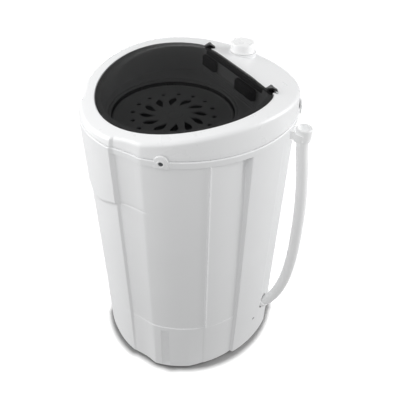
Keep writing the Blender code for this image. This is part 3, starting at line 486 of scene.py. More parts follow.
class Nodes:
    """Builds one node material round its Principled shader."""

    def __init__(self, name, color, roughness, metallic=0.0):
        self.made = bpy.data.materials.new(name)
        self.made.use_nodes = True
        self.tree = self.made.node_tree
        self.link = self.tree.links.new
        self.shader = self.tree.nodes["Principled BSDF"]
        self.color = color
        fill(self.shader, {"Base Color": (*color, 1.0), "Roughness": roughness, "Metallic": metallic})
        self.place = self.add("ShaderNodeTexCoord").outputs["Object"]

    def add(self, kind, values=None):
        node = self.tree.nodes.new(kind)
        fill(node, values or {})
        return node

    def noise(self, scale, detail, roughness=0.55, stretch=None):
        source = self.place
        if stretch:
            mapping = self.add("ShaderNodeMapping", {"Scale": stretch})
            self.link(source, mapping.inputs["Vector"])
            source = mapping.outputs["Vector"]
        node = self.add("ShaderNodeTexNoise", {"Scale": scale, "Detail": detail, "Roughness": roughness})
        self.link(source, node.inputs["Vector"])
        return node.outputs["Fac"]

    def gloss(self, fac, low, high):
        """Varies the roughness between low and high."""
        node = self.add("ShaderNodeMapRange", {"From Min": 0.3, "From Max": 0.7})
        fill(node, {"To Min": low, "To Max": high})
        self.link(fac, node.inputs["Value"])
        self.link(node.outputs["Result"], self.shader.inputs["Roughness"])

    def tint(self, fac, amount):
        """Varies the base colour a little, between amount darker and amount lighter."""
        ramp = self.add("ShaderNodeValToRGB")
        for element, position, share in zip(ramp.color_ramp.elements, (0.3, 0.7), (1 - amount, 1 + amount)):
            element.position = position
            element.color = (*[min(1.0, c * share) for c in self.color], 1.0)
        self.link(fac, ramp.inputs["Fac"])
        self.link(ramp.outputs["Color"], self.shader.inputs["Base Color"])

    def bump(self, fac, strength, distance):
        node = self.add("ShaderNodeBump", {"Strength": strength, "Distance": distance})
        before = self.shader.inputs["Normal"].links
        if before:
            self.link(before[0].from_socket, node.inputs["Normal"])
        self.link(fac, node.inputs["Height"])
        self.link(node.outputs["Normal"], self.shader.inputs["Normal"])


def moulded(name, color, roughness, grain, texture=0.12):
    """Moulded plastic: a fine grain, slow waviness from shrinkage, and slightly uneven gloss and colour."""
    m = Nodes(name, color, roughness)
    m.tint(m.noise(9.0, 4.0), 0.012)
    m.gloss(m.noise(26.0, 5.0), roughness * 0.86, roughness * 1.14)
    m.bump(m.noise(14.0, 1.0), 0.10, 0.8 * MM)
    m.bump(m.noise(grain, 2.0), texture, 0.06 * MM)
    return m.made


def smoked(name):
    """Dark see-through plastic."""
    m = Nodes(name, (0.002, 0.002, 0.0023), 0.09)
    fill(m.shader, {"Alpha": 0.57, "Specular IOR Level": 0.03, "IOR": 1.49})
    m.gloss(m.noise(30.0, 4.0), 0.06, 0.12)
    m.bump(m.noise(11.0, 1.0), 0.08, 0.5 * MM)
    return m.made


def grained(name, color, roughness, metallic, tint, gloss, grain):
    """A mottled finish. tint, gloss and grain each start with a noise's scale and detail."""
    m = Nodes(name, color, roughness, metallic)
    m.tint(m.noise(*tint[:2]), tint[2])
    m.gloss(m.noise(*gloss[:2]), *gloss[2:])
    m.bump(m.noise(*grain[:2]), *grain[2:])
    return m.made


def brushed(name, color, roughness, stretch, scale=220.0):
    """Metal with fine lines along one direction, and a little soiling in broad patches."""
    m = Nodes(name, color, roughness, metallic=1.0)
    m.tint(m.noise(14.0, 4.0), 0.06)
    lines = m.noise(scale, 4.0, 0.6, stretch)
    m.gloss(lines, roughness * 0.75, roughness * 1.3)
    m.bump(lines, 0.18, 0.05 * MM)
    return m.made


MATTE_RUBBER = ((60.0, 5.0, 0.25), (90.0, 4.0, 0.62, 0.82), (900.0, 3.0, 0.25, 0.08 * MM))
ORANGE_PEEL = ((22.0, 5.0, 0.12), (40.0, 4.0, 0.34, 0.52), (520.0, 2.0, 0.2, 0.08 * MM))
SINTERED = ((700.0, 3.0, 0.18), (300.0, 3.0, 0.34, 0.5), (1500.0, 2.0, 0.25, 0.05 * MM))
FINISHES = (
    # builder, name of the slot in the record, the builder's other values
    (moulded, "cabinet_plastic", (0.80, 0.805, 0.81), 0.42, 1500.0, 0.16),
    (moulded, "cover_plastic", (0.82, 0.825, 0.83), 0.30, 1800.0, 0.08),
    (moulded, "tub_plastic", (0.74, 0.75, 0.75), 0.45, 1200.0),
    (moulded, "plate_plastic", (0.78, 0.79, 0.79), 0.40, 1400.0),
    (smoked, "smoked_plastic"),
    (moulded, "knob_plastic", (0.90, 0.903, 0.905), 0.28, 1800.0, 0.06),
    (moulded, "hose_plastic", (0.89, 0.893, 0.895), 0.42, 1100.0, 0.10),
    (moulded, "clip_plastic", (0.86, 0.863, 0.865), 0.40, 1500.0),
    (moulded, "black_plastic", (0.022, 0.022, 0.024), 0.46, 1300.0, 0.2),
    (grained, "black_rubber", (0.028, 0.028, 0.030), 0.72, 0.0, *MATTE_RUBBER),
    # stainless_steel is darker than bare steel: painted shade, so that the drum seen through the plate's
    # holes reads dark.
    (brushed, "stainless_steel", (0.30, 0.305, 0.31), 0.30, (1.0, 1.0, 0.04)),
    (brushed, "zinc_steel", (0.52, 0.53, 0.54), 0.36, (1.0, 1.0, 1.0), 500.0),
    (brushed, "capacitor_can", (0.68, 0.69, 0.70), 0.34, (1.0, 1.0, 0.05)),
    (grained, "painted_steel", (0.075, 0.082, 0.090), 0.42, 0.1, *ORANGE_PEEL),
    (grained, "bronze", (0.50, 0.33, 0.15), 0.4, 1.0, *SINTERED),
)

look()
FINISH = {slot: build(slot, *values) for build, slot, *values in FINISHES}
SLOT_OF = {part["node"]: part["material_slot"] for part in frame["record"]["subparts"]}


def paint(piece, slot):
    piece.data.materials.clear()
    piece.data.materials.append(FINISH[slot])


def placed(piece, body, slot, *nodes):
    """Gives a piece its body and its slot's finish, and hides the CAD nodes that it stands for."""
    paint(piece, slot)
    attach(piece, body)
    if nodes:
        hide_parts(*nodes)
    return piece


# Drain hose, the one free cord


def outlet_direction():
    pitch = radians(OUTLET_PITCH)
    return outward(OUTLET_ANGLE) * cos(pitch) + UP * sin(pitch)


def hose_route():
    """The model's own route for the hose: out of the wall, up in a bow, and back in to the clip."""
    middle, along = wall_point(OUTLET_ANGLE, OUTLET_Z), outlet_direction()
    free = (
        (121.1, 0.2000, 0.1560), (121.3, 0.2110, 0.2040), (121.6, 0.2160, 0.2630),
        (122.1, 0.2160, 0.3280), (122.8, 0.2125, 0.3990), (123.6, 0.2055, 0.4560),
        (HOSE_TOP_ANGLE, 0.1995, 0.4940), (HOSE_TOP_ANGLE, HOSE_TOP_REACH, HOSE_TOP_Z - 9 * MM),
        (HOSE_TOP_ANGLE, HOSE_TOP_REACH, HOSE_TOP_Z),
    )
    return [middle + along * 2 * MM, middle + along * 16 * MM] + [at(*point) for point in free]


def hose_cup():
    """The collar on the hose's end, with a rolled lip and two shallow grip beads."""
    top = at(HOSE_TOP_ANGLE, HOSE_TOP_REACH, HOSE_TOP_Z)
    profile = (
        # out from the hose's side, up from the collar's foot
        (0, 0, 0.2), (2.4, 0), (2.5, 4, 0.3), (2.2, 4.6, 0.3), (2.2, 5.4, 0.3), (2.6, 6, 0.3),
        (2.9, 20), (2.3, 22), (-0.4, 22), (-1.4, 9.6), (-1.4, 7.6, 0.2), (0, 7.6, 0.2),
    )
    origin = (HOSE_RADIUS + 0.4 * MM, HOSE_TOP_Z - CUP_SLEEVE)
    made = lathe("hose_cup", profile, 0.9, 64, origin, (top.x, top.y))
    made.visible_shadow = False
    return placed(made, "cabinet", "hose_plastic", "hose_end_cup")


def hose():
    """The drain hose with its cup."""
    line = curve_through(hose_route(), 0.012)
    curve = bpy.data.curves.new("hose", "CURVE")
    curve.dimensions = "3D"
    curve.bevel_depth = HOSE_RADIUS
    curve.bevel_resolution = 10
    curve.use_fill_caps = True
    add_line(curve, line).use_smooth = True
    made = placed(linked("hose", curve), "cabinet", "hose_plastic", "drain_hose")
    made.visible_shadow = False
    hose_cup()


hose()


# Cabinet shell


def fine_angles():
    """Angles every two degrees, and closer together at each panel's corners and at the slots."""
    close = [-0.35, -0.2, -0.07, 0.07, 0.2, 0.35]
    half = [2.0 * i for i in range(91)] + [22.0 + 0.7 * i for i in range(22)]
    for angle, *_ in PANELS[1:-1]:
        half += [angle + shift for shift in close]
    for angle in (SLOT_START, SLOT_END):
        half += [angle + shift for shift in (-0.3, -0.1, 0.1, 0.3, 0.55)]
    half = sorted(half)
    kept = [half[0]]
    for angle in half[1:]:
        if angle - kept[-1] > 0.09:
            kept.append(angle)
    kept[-1] = 180.0
    return kept + [360.0 - a for a in reversed(kept[1:-1])]


ANGLES = fine_angles()


def grip_line(angle):
    """Height of the step between the upper and lower wall: a shallow smile across the front."""
    return GRIP_Z + GRIP_RISE * smoothstep(0.0, 27.0, from_front(angle))


def slot_depth(angle, z):
    """A slot low on each side of the front, which deepens away from the front and ends in a sharp edge."""
    turn = from_front(angle)
    if not SLOT_START < turn < SLOT_END + 0.4:
        return 0.0
    rise = smoothstep(SLOT_START, SLOT_START + 0.9, turn) * 0.55
    rise += 0.45 * (turn - SLOT_START) / (SLOT_END - SLOT_START)
    fall = 1 - smoothstep(SLOT_END - 0.1, SLOT_END + 0.3, turn)
    under = 1 - smoothstep(SLOT_TOP_Z - 0.25 * MM, SLOT_TOP_Z + 0.25 * MM, z)
    lip = smoothstep(SLOT_LIP_Z, SLOT_LIP_Z + 3.5 * MM, z)
    return SLOT_DEPTH * min(rise, 1.0) * fall * under * lip


def pocket_depth(angle, z):
    """A hollow under the strip that darkens the top of the panel's edge on each side."""
    turn = from_front(angle)
    across = smoothstep(88.2, 91.7, turn) * (1 - smoothstep(91.9, 92.5, turn))
    upward = smoothstep(POCKET_LOW_Z, POCKET_HIGH_Z, z) * (1 - smoothstep(0.5200, STRIP_LOW_Z, z))
    return POCKET_DEPTH * across * upward


def shell_setback(angle, z):
    """Setback of the cabinet's face: plinth, lower and upper wall and strip, joined by soft steps."""
    turn = from_front(angle)
    plinth = min(1.0, (z - SHELL_FOOT_Z) / (PLINTH_Z - SHELL_FOOT_Z))
    low = soft_setback(angle, FOOT) * (1 - plinth) + soft_setback(angle, PLINTH) * plinth
    lower = smoothstep(PLINTH_Z - 0.3 * MM, PLINTH_Z + 1.4 * MM, z)
    grip, gentle = grip_line(angle), smoothstep(36.0, 40.0, turn)
    upper = smoothstep(grip - 3.2 * MM, grip + 1.8 * MM, z) * (1 - gentle)
    upper += smoothstep(0.20, 0.50, z) * gentle
    rim = smoothstep(STRIP_LOW_Z - 0.5 * MM, STRIP_LOW_Z + 0.3 * MM, z)
    depth = low + (soft_setback(angle, LOWER) - low) * lower
    depth += (soft_setback(angle, UPPER) - depth) * upper
    depth += (soft_setback(angle, RIM) - depth) * rim
    depth -= RIB_HEIGHT * bump(turn, RIB_ANGLE, RIB_HALF_WIDTH) * (1 - rim) * lower
    depth += GRIP_GROOVE * bump(z, grip, GRIP_HALF_WIDTH) * (1 - gentle)
    return depth + slot_depth(angle, z) + pocket_depth(angle, z)


def shell_heights():
    """Heights of the shell's rings, close together at its steps."""
    heights = [SHELL_FOOT_Z, 0.0078, 0.0095, 0.020, 0.035, 0.050, 0.065, 0.080, 0.095, 0.108, 0.116]
    heights += [SLOT_TOP_Z + shift * MM for shift in (-1.0, -0.3, -0.1, 0.1, 0.3, 1.2)]
    heights += [0.126, 0.1300, 0.1305, 0.1310, 0.1316, 0.1322, 0.1330, 0.1345, 0.142]
    heights += [0.165 + 0.025 * i for i in range(9)] + [0.380, 0.388, 0.393]
    heights += [0.3955 + 0.0011 * i for i in range(31)]
    heights += [0.434, 0.445, 0.460, 0.475, 0.490, 0.502, 0.512, 0.518, 0.5205]
    heights += [STRIP_LOW_Z + shift * MM for shift in (-0.6, -0.3, -0.1, 0.1, 0.35, 0.9)]
    return heights + [0.5255, 0.5285, 0.5310, 0.5318]


def shell_ring(z, inset):
    reaches = [oval(a) - shell_setback(a, z) - DRAFT * (1 - z / SEAM_Z) - inset for a in ANGLES]
    return [at(a, reach, z) for a, reach in zip(ANGLES, reaches)]


def inner_ring(z, level):
    insets = [WALL + slot_depth(a, z) + pocket_depth(a, z) for a in ANGLES]
    return [at(a, wall_reach(a, level, z, inset), z) for a, inset in zip(ANGLES, insets)]


def shell():
    """The cabinet's wall, with its rounded rim strip, panels, grip line, plinth and slots."""
    rings = [shell_ring(SHELL_FOOT_Z, 0.7 * MM)]
    rings += [shell_ring(z, 0.0) for z in shell_heights()]
    rings += [shell_ring(0.5321, 0.3 * MM), shell_ring(0.5327, 0.9 * MM), shell_ring(SEAM_Z, 1.8 * MM)]
    rings += [inner_ring(z, UPPER) for z in (SEAM_Z, 0.5205, 0.512, 0.495, 0.475, 0.455, 0.428)]
    rings += [inner_ring(0.392, LOWER), inner_ring(0.135, LOWER), inner_ring(0.122, PLINTH)]
    rings += [inner_ring(0.1205, PLINTH), inner_ring(0.0125, FOOT), inner_ring(SHELL_FOOT_Z, FOOT)]
    made = loft("cabinet_shell", rings, closed=True, smooth_under=40.0)
    holes = [rod(*into_side(a, -5 * MM, 6 * MM), 3.2 * MM) for a in SIDE_SCREW_ANGLES]
    holes += [rod(*into_tab(a, -5 * MM, 6 * MM), TAB_HOLE_RADIUS) for a in TAB_ANGLES]
    middle, along = wall_point(OUTLET_ANGLE, OUTLET_Z), outlet_direction() * 0.03
    holes.append(rod(middle - along, middle + along, GROMMET_RADIUS + 0.1 * MM, 48))
    mouth, out = wall_point(GLAND_ANGLE, GLAND_Z), outward(GLAND_ANGLE) * 0.01
    holes.append(rod(mouth - out, mouth + out, GLAND_RADIUS + GAP))
    shape(made, [("DIFFERENCE", hole) for hole in holes], 40.0)
    placed(made, "cabinet", "cabinet_plastic", "body_shell")


def screw_tab(name, angle):
    """The half-round tab that takes a cover screw: a raised ring round a hole, on a bevelled plate."""
    drop = TAB_Z - STRIP_LOW_Z
    outline = arc(TAB_RADIUS, 0, 180, 36) + [(-TAB_RADIUS, -drop), (TAB_RADIUS, -drop)]
    place = standing(angle, wall_reach(angle, RIM, SEAM_Z), TAB_Z)
    plate = slab("tab", outline, -1.3 * MM, 1.9 * MM, place, bevel=0.7 * MM)
    ring = lathe("ring", [(3.6, 0.3, 0.0), (6.4, 0.3, 0.0), (6.2, 2.4), (4.0, 2.4)], 0.4, 48)
    aim(ring, *into_tab(angle, 0.0), outward(angle))
    hole = rod(*into_tab(angle, 6 * MM, -6 * MM), 3.6 * MM, 48)
    shape(plate, [("UNION", ring), ("DIFFERENCE", hole)])
    plate.name = name
    placed(plate, "cabinet", "cabinet_plastic")


def screw(name, start, end, head_radius, head_length, shank, slot, node):
    """A pan-head screw with a cross recess, its head at the start. Its own sizes are in millimetres."""
    length = (end - start).length / MM
    profile = [(0, 0), (head_radius, 0), (head_radius, head_length), (shank, head_length, 0)]
    profile += [(shank, length - 1.5, 0), (0, length)]
    made = lathe(name, profile, 0.5, 32, steps=3, closed=False)
    narrow, wide = 0.35 * MM, head_radius * 0.6 * MM
    for x, y in ((narrow, wide), (wide, narrow)):
        shape(made, [("DIFFERENCE", block("cutter", (-x, -y, -1 * MM), (x, y, 0.45 * MM)))])
    aim(made, start, end - start)
    placed(made, "cabinet", slot, node)


def fasteners():
    """The tabs with their screws, and the base plate's screws low on the sides."""
    # The screws' dark finishes are partly painted shade: they make the recessed screw holes read dark.
    tab_screw = (3.2, 0.9, 1.5, "painted_steel")
    base_screw = (2.8, 2.4, 1.6, "black_plastic")
    corners = ("front_right", "front_left", "rear_right", "rear_left")
    for i, (angle, corner) in enumerate(zip(TAB_ANGLES, corners), 1):
        screw_tab(f"screw_tab_{corner}", angle)
        ends = into_tab(angle, -1.6 * MM, 9.0 * MM)
        screw(f"tab_screw_{corner}", *ends, *tab_screw, f"cover_screw_{i}")
    for i, angle in enumerate(SIDE_SCREW_ANGLES, 1):
        ends = into_side(angle, 1.6 * MM, 13.0 * MM)
        screw(f"base_screw_{i}", *ends, *base_screw, f"side_screw_{i}")


def feet():
    """Four rubber feet, each with a groove round it and a hollow sole."""
    profile = (
        (0, 1), (5, 1, 0.4), (6, 0, 0.4), (12.5, 0, 0.8), (14.5, 2), (14.8, 6, 0.3),
        (14.4, 6.4, 0.2), (14.4, 7.2, 0.2), (14.9, 7.6, 0.3), (15, 10.9, 0.3), (0, 10.9),
    )
    for corner, angle in FOOT_ANGLES.items():
        spot = at(angle, FOOT_REACH, 0.0)
        made = lathe(f"rubber_foot_{corner}", profile, 0.6, 64, axis=(spot.x, spot.y), closed=False)
        placed(made, "cabinet", "black_rubber", f"foot_{corner}")


# Top cover


def laid(ring, z):
    """The ring at the height z, which can also be a surface: a height for each y."""
    for point in ring:
        point.z = z(point.y) if callable(z) else z
    return ring


def above_crown(rise):
    return lambda y: crown(y) + rise


def blend(ring, other, share):
    return [a.lerp(b, share) for a, b in zip(ring, other)]


def cover_ring(inset, z):
    """A ring round the cover, set in from the strip's face."""
    return laid([at(a, oval(a) - soft_setback(a, RIM) - inset, 0.0) for a in ANGLES], z)


def lip_ring(inset, z):
    return [at(a, wall_reach(a, UPPER, SEAM_Z, inset), z) for a in ANGLES]


def d_ring(outline, grow, z, angles=None):
    """A ring round the lid's middle. outline is its radius and its straight rear, both then grown."""
    radius, rear = outline[0] + grow, outline[1] + grow
    return laid([at(a, d_reach(a, radius, rear), 0.0, LID_Y) for a in angles or ANGLES], z)


def mouth_ring(grow, drop):
    """A ring round the well's mouth, this far below the well's floor."""
    return [at(a, WELL_MOUTH + grow, WELL_FLOOR_Z - drop, DRUM_Y) for a in ANGLES]


def cover():
    """The top cover: skirt, rounded edge, arched deck, rebate for the lid, ledge, well and its mouth."""
    seam = ((1.5, 1), (0.6, 2), (0.1, 4))
    rings = [cover_ring(COVER_INSET + inset * MM, SEAM_Z + gaps * GAP) for inset, gaps in seam]
    low, high = cover_ring(COVER_INSET, SEAM_Z + 6 * GAP), cover_ring(TOP_INSET, above_crown(-EDGE_ROUND))
    rings += [blend(low, high, share) for share in (0.0, 0.25, 0.5, 0.75)]
    for i in range(9):
        turn = radians(90 * i / 8)
        inset = TOP_INSET + EDGE_ROUND * (1 - cos(turn))
        rings.append(cover_ring(inset, above_crown(-EDGE_ROUND * (1 - sin(turn)))))
    opening = (LID_RADIUS + LID_GAP, LID_REAR + LID_GAP)
    ledge = (LID_RADIUS - LEDGE, LID_REAR - 0.6 * LEDGE)
    well = (ledge[0] - 4 * MM, ledge[1] - 4 * MM)
    edge, lip = rings[-1], d_ring(opening, 0.7 * MM, crown)
    rings += [laid(blend(edge, lip, share), crown) for share in (0.1, 0.3, 0.5, 0.7, 0.9)]
    rings.append(lip)
    rebate = REBATE / MM
    for outline, grow, drop in (
        (opening, 0.35, 0.08), (opening, 0.1, 0.3), (opening, 0, 0.7), (opening, 0, rebate - 0.5),
        (opening, -0.5, rebate), (ledge, 0.8, rebate), (ledge, 0.2, rebate + 0.15),
    ):
        rings.append(d_ring(outline, grow * MM, above_crown(-drop * MM)))
    top = d_ring(ledge, 0.0, above_crown(-REBATE - 0.8 * MM))
    foot = d_ring(well, 0.0, WELL_FLOOR_Z + 1.2 * MM)
    rings += [blend(top, foot, share) for share in (0.0, 0.33, 0.66, 1.0)]
    rings.append(d_ring(well, -0.4 * MM, WELL_FLOOR_Z + 0.3 * MM))
    floor, mouth = d_ring(well, -1.2 * MM, WELL_FLOOR_Z), mouth_ring(0.8 * MM, 0.0)
    rings += [floor, blend(floor, mouth, 0.5), mouth]
    under = WALL + 2.5 * MM
    rings += [
        mouth_ring(0.2 * MM, 0.25 * MM),
        mouth_ring(0.0, 0.8 * MM),
        mouth_ring(0.0, 2.4 * MM),
        d_ring(well, COVER_WALL, WELL_FLOOR_Z - 2.4 * MM),
        d_ring(ledge, COVER_WALL, above_crown(-REBATE - COVER_WALL)),
        d_ring(opening, COVER_WALL, above_crown(-REBATE - COVER_WALL)),
        d_ring(opening, COVER_WALL, above_crown(-COVER_WALL)),
        cover_ring(TOP_INSET + EDGE_ROUND + COVER_WALL, above_crown(-COVER_WALL - 1 * MM)),
        lip_ring(under, SEAM_Z + 3 * MM),
        lip_ring(under, SEAM_Z - 5 * MM),
        lip_ring(WALL + 0.5 * MM, SEAM_Z - 5 * MM),
        lip_ring(WALL + 0.5 * MM, SEAM_Z + GAP),
    ]
    made = loft("deck", rings, closed=True)
    shape(made, cover_steps())
    placed(made, "cabinet", "cover_plastic", "top_cover")
    knob_seat()
    well_ribs()


def hinge_z():
    """Height of the hinge's axis."""
    return crown(HINGE_Y) + 0.8 * MM


def pin_hole(side, *ends):
    """A cut for a hinge pin, with its ends given from the outer face of the lid's ear."""
    points = [(side * (EAR_OUTER_X + end), HINGE_Y, hinge_z()) for end in ends]
    return ("DIFFERENCE", rod(*points, PIN_RADIUS + GAP))


def cover_steps():
    """The cover's pockets for the lid's ears, with the lugs that hold the pins, and its holes."""
    steps = [("DIFFERENCE", rod((KNOB_X, KNOB_Y, 0.5), (KNOB_X, KNOB_Y, 0.6), KNOB_HOLE_RADIUS, 64))]
    axis_z = hinge_z()
    reach = HINGE_RADIUS + 1.3 * MM
    for side in (-1, 1):
        low, high = sorted((side * (EAR_INNER_X - 1.2 * MM), side * (EAR_OUTER_X + 1.2 * MM)))
        corner = (low, LID_REAR - 4 * MM, axis_z - reach)
        far = (high, HINGE_Y + reach, axis_z + 0.02)
        steps.append(("DIFFERENCE", block("cutter", corner, far, bevel=1.2 * MM)))
        low, high = sorted((side * (EAR_OUTER_X + 1.6 * MM), side * (EAR_OUTER_X + 7 * MM)))
        corner = (low, HINGE_Y - 4 * MM, axis_z - 7 * MM)
        far = (high, HINGE_Y + 4 * MM, crown(HINGE_Y) - 0.6 * MM)
        steps.append(("UNION", block("cutter", corner, far, bevel=0.5 * MM)))
        steps.append(pin_hole(side, -1 * MM, 6.7 * MM))
    mouth = Vector((0.060, BOX_BACK + GAP, 0.5555))
    steps.append(("DIFFERENCE", rod(mouth, mouth + Vector((0.0, 9 * MM, 0.0)), 2.2 * MM)))
    holes = [rod(*into_tab(angle, -5 * MM, 14 * MM), TAB_HOLE_RADIUS) for angle in TAB_ANGLES]
    return steps + [("DIFFERENCE", hole) for hole in holes]


def knob_seat():
    """The raised round seat under the knob."""
    profile = [(4, -2.4, 0), (23.2, -2.4, 0), (23.2, -18, 0), (25.8, -18, 0)]
    profile += [(25.3, 0), (4, 0, 0.3)]
    made = lathe("knob_seat", profile, 1.2, 96, (0.0, BOSS_TOP_Z), (KNOB_X, KNOB_Y), 5)
    placed(made, "cabinet", "cover_plastic")


def well_ribs():
    """Level ribs that stiffen the straight rear wall of the well, and a black strip over them that stands in
    for the shade under the hinge: painted shade.
    """
    rear = LID_REAR - 0.6 * LEDGE
    for i, z in enumerate((0.531, 0.535, 0.539, 0.543), 1):
        share = (z - WELL_FLOOR_Z) / (crown(rear) - REBATE - WELL_FLOOR_Z)
        y = rear - 4 * MM * (1 - share)
        low, high = (-0.084, y - 5 * MM, z - 0.6 * MM), (0.074, y + 0.8 * MM, z + 0.6 * MM)
        placed(block(f"well_rib_{i}", low, high, 0.3 * MM), "cabinet", "cover_plastic")
    # Black strip along the top of the well's rear wall: painted shade under the hinge.
    low, high = (-0.0865, BOX_BACK, BOX_HIGH_Z + 0.8 * MM), (0.0835, LID_REAR - 4 * MM, 0.5700)
    placed(block("hinge_shade_strip", low, high, 0.8 * MM), "cabinet", "black_rubber")


# Lid


def lid_angles():
    """Angles round the lid, close together where its outline turns to the straight rear."""
    half = [3.0 * i for i in range(41)]
    half += [122.0 + 0.8 * i for i in range(36)]
    half += [153.0 + 3.0 * i for i in range(9)]
    return half + [180.0] + [360.0 - a for a in reversed(half[1:])]


def lid():
    """The smoked lid: a flat-topped dome with a crease round it, a soft edge, and two hinge ears."""
    angles = lid_angles()
    outline = (
        # reach, rear edge, rise above the deck's arch, in millimetres
        (45, 45, 7.1), (85, 68, 7.1), (104, 80, 7), (113, 84, 6.8),
        (115.6, 85.1, 6.6), (116.8, 85.6, 6.35), (118, 86, 5.95), (120.5, 86.6, 5.2),
        (127, 87.6, 3.75), (134, 88.6, 2.35), (140, 89.4, 1.3), (144.5, 90, 0.65),
        (146.6, 90.2, 0.2), (147.3, 90.4, -0.4), (147.5, 90.5, -1.2), (147.5, 90.5, -2.4),
        (147.1, 90.2, -2.9), (146.2, 89.4, -2.9), (142, 87.6, -2.9), (141.4, 87.2, -2.6),
        (138, 86.9, -0.9), (127, 85, 1.25), (120.5, 84.2, 2.7), (115.6, 82.8, 4),
        (113, 81.6, 4.3), (85, 66, 4.4), (45, 44, 4.4),
    )
    rings = [[Vector((0.0, LID_Y, crown(LID_Y) + 7.1 * MM))]]
    for reach, rear, rise in outline:
        rings.append(d_ring((reach * MM, rear * MM), 0.0, above_crown(rise * MM), angles))
    rings.append([Vector((0.0, LID_Y, crown(LID_Y) + 4.4 * MM))])
    made = loft("smoked_lid", rings)
    steps = []
    for side in (-1, 1):
        steps += [("UNION", lid_ear(side)), pin_hole(side, -5 * MM, 3 * MM)]
    shape(made, steps)
    placed(made, "lid", "smoked_plastic", "lid")


def lid_ear(side):
    """The rounded arm at a rear corner of the lid, which turns on the hinge pin."""
    reach = 10 * MM
    profile = arc(HINGE_RADIUS, 90, -90, 24) + [(-reach, -3.4 * MM), (-reach, 1.2 * MM)]
    turn = Matrix(((0, 0, 1, 0), (1, 0, 0, HINGE_Y), (0, 1, 0, hinge_z()), (0, 0, 0, 1)))
    low, high = sorted((side * EAR_INNER_X, side * EAR_OUTER_X))
    return slab("ear", profile, low, high, turn, bevel=0.8 * MM)


# Press plate, drum and splash ring


def petal(angle):
    """A drop-shaped slot that points at the middle of the plate, swept round a little like a pinwheel's."""
    length = PETAL_FAR - PETAL_NEAR
    half = []
    for i in range(19):
        t = i / 18
        share = 0.5 - 0.5 * cos(pi * t)
        width = sin(pi * share**1.75) ** 0.8
        half.append((share, width))
    corners = half + [(share, -width) for share, width in reversed(half[1:-1])]
    outline = []
    for share, width in corners:
        reach = PETAL_NEAR + length * share
        turn = radians(angle + PETAL_SWIRL * (0.5 - share)) + width * PETAL_HALF_WIDTH / reach
        outline.append((reach * cos(turn), reach * sin(turn)))
    return outline


def press_plate():
    """The perforated disc, with a raised rim bead and hub."""
    edge = 0.35 * MM
    outlines = [arc(PLATE_RADIUS - edge, 0, 360 * 143 / 144, 143)]
    outlines += [petal(PETAL_FIRST + 360 / PETALS * i) for i in range(PETALS)]
    for i in range(OVALS):
        angle = OVAL_FIRST + 360 / OVALS * i
        a = radians(angle)
        centre = (OVAL_REACH * cos(a), OVAL_REACH * sin(a))
        outlines.append(arc(OVAL_RADIUS + edge, angle, angle + 345, 23, centre))
    curve = bpy.data.curves.new("press_disc", "CURVE")
    curve.dimensions = "2D"
    curve.fill_mode = "BOTH"
    curve.extrude = PLATE_WALL / 2 - edge
    curve.bevel_depth = edge
    curve.bevel_resolution = 2
    for outline in outlines:
        add_line(curve, [(x, y, 0.0) for x, y in outline]).use_cyclic_u = True
    drawn = linked("drawn", curve)
    mesh = resulting_mesh(drawn)
    mesh.transform(Matrix.Translation((0.0, DRUM_Y, PLATE_TOP_Z - PLATE_WALL / 2)))
    bpy.data.objects.remove(drawn)
    soften(mesh)
    placed(linked("press_disc", mesh), "plate", "plate_plastic", "press_plate")
    origin, axis = (0.0, PLATE_TOP_Z - 0.2 * MM), (0.0, DRUM_Y)
    bead = [(97.7, 0), (101.5, 0), (101.1, 1.3), (98.5, 1.3)]
    hub = [(0, 0), (16.5, 0), (15.2, 1.3), (9, 1.3), (8.2, 0.5), (0, 0.5)]
    placed(lathe("press_disc_rim", bead, 0.5, 144, origin, axis), "plate", "plate_plastic")
    placed(lathe("press_disc_hub", hub, 0.5, 72, origin, axis, closed=False), "plate", "plate_plastic")


def drum():
    """The spinning drum: a rolled mouth, rounded corners, a raised middle and rows of drain holes."""
    outer, mouth, wall = DRUM_RADIUS / MM, DRUM_MOUTH / MM, DRUM_WALL / MM
    bore, top = (SHAFT_RADIUS + GAP) / MM, (DRUM_TOP_Z - DRUM_FLOOR_Z) / MM
    inner = outer - wall
    profile = (
        (bore, -8, 0), (20, -8), (22, 0), (outer - 8, 0, 3), (outer, 8, 3),
        (outer, top), (mouth, top), (mouth, top - 16, 4), (inner, top - 22, 4),
        (inner, 8.6, 3), (inner - 7.6, wall, 3), (30, wall + 2, 3), (16, 14, 2),
        (bore, 14, 0),
    )
    made = lathe("spin_drum", profile, 1.5, 120, (0.0, DRUM_FLOOR_Z), (0.0, DRUM_Y))
    holes = bmesh.new()
    rows, columns = 3, 10
    for row in range(rows):
        for column in range(columns):
            out = outward(360 / columns * (column + 0.5 * (row % 2)) + 15)
            centre = Vector((0.0, DRUM_Y, DRUM_FLOOR_Z + 0.055 + row * 0.072))
            hole = rod(centre + out * 0.112, centre + out * 0.125, 5 * MM, 24)
            holes.from_mesh(hole.data)
            bpy.data.objects.remove(hole)
    shape(made, [("DIFFERENCE", mesh_object("cutter", holes))])
    placed(made, "spinner", "stainless_steel", "drum")


def splash_ring():
    """The flat ring over the tub, with a bead round its mouth."""
    edge = (TUB_FLANGE - DRUM_MOUTH) / MM
    profile = [(-3, 0), (edge, 0), (edge, 2.6), (3, 2.6), (1, 4.2), (-2, 4.2), (-3, 2.6)]
    origin = (DRUM_MOUTH, TUB_TOP_Z + GAP)
    made = lathe("tub_splash_ring", profile, 0.8, 144, origin, (0.0, DRUM_Y), 3)
    placed(made, "cabinet", "tub_plastic", "splash_ring")


# Controls


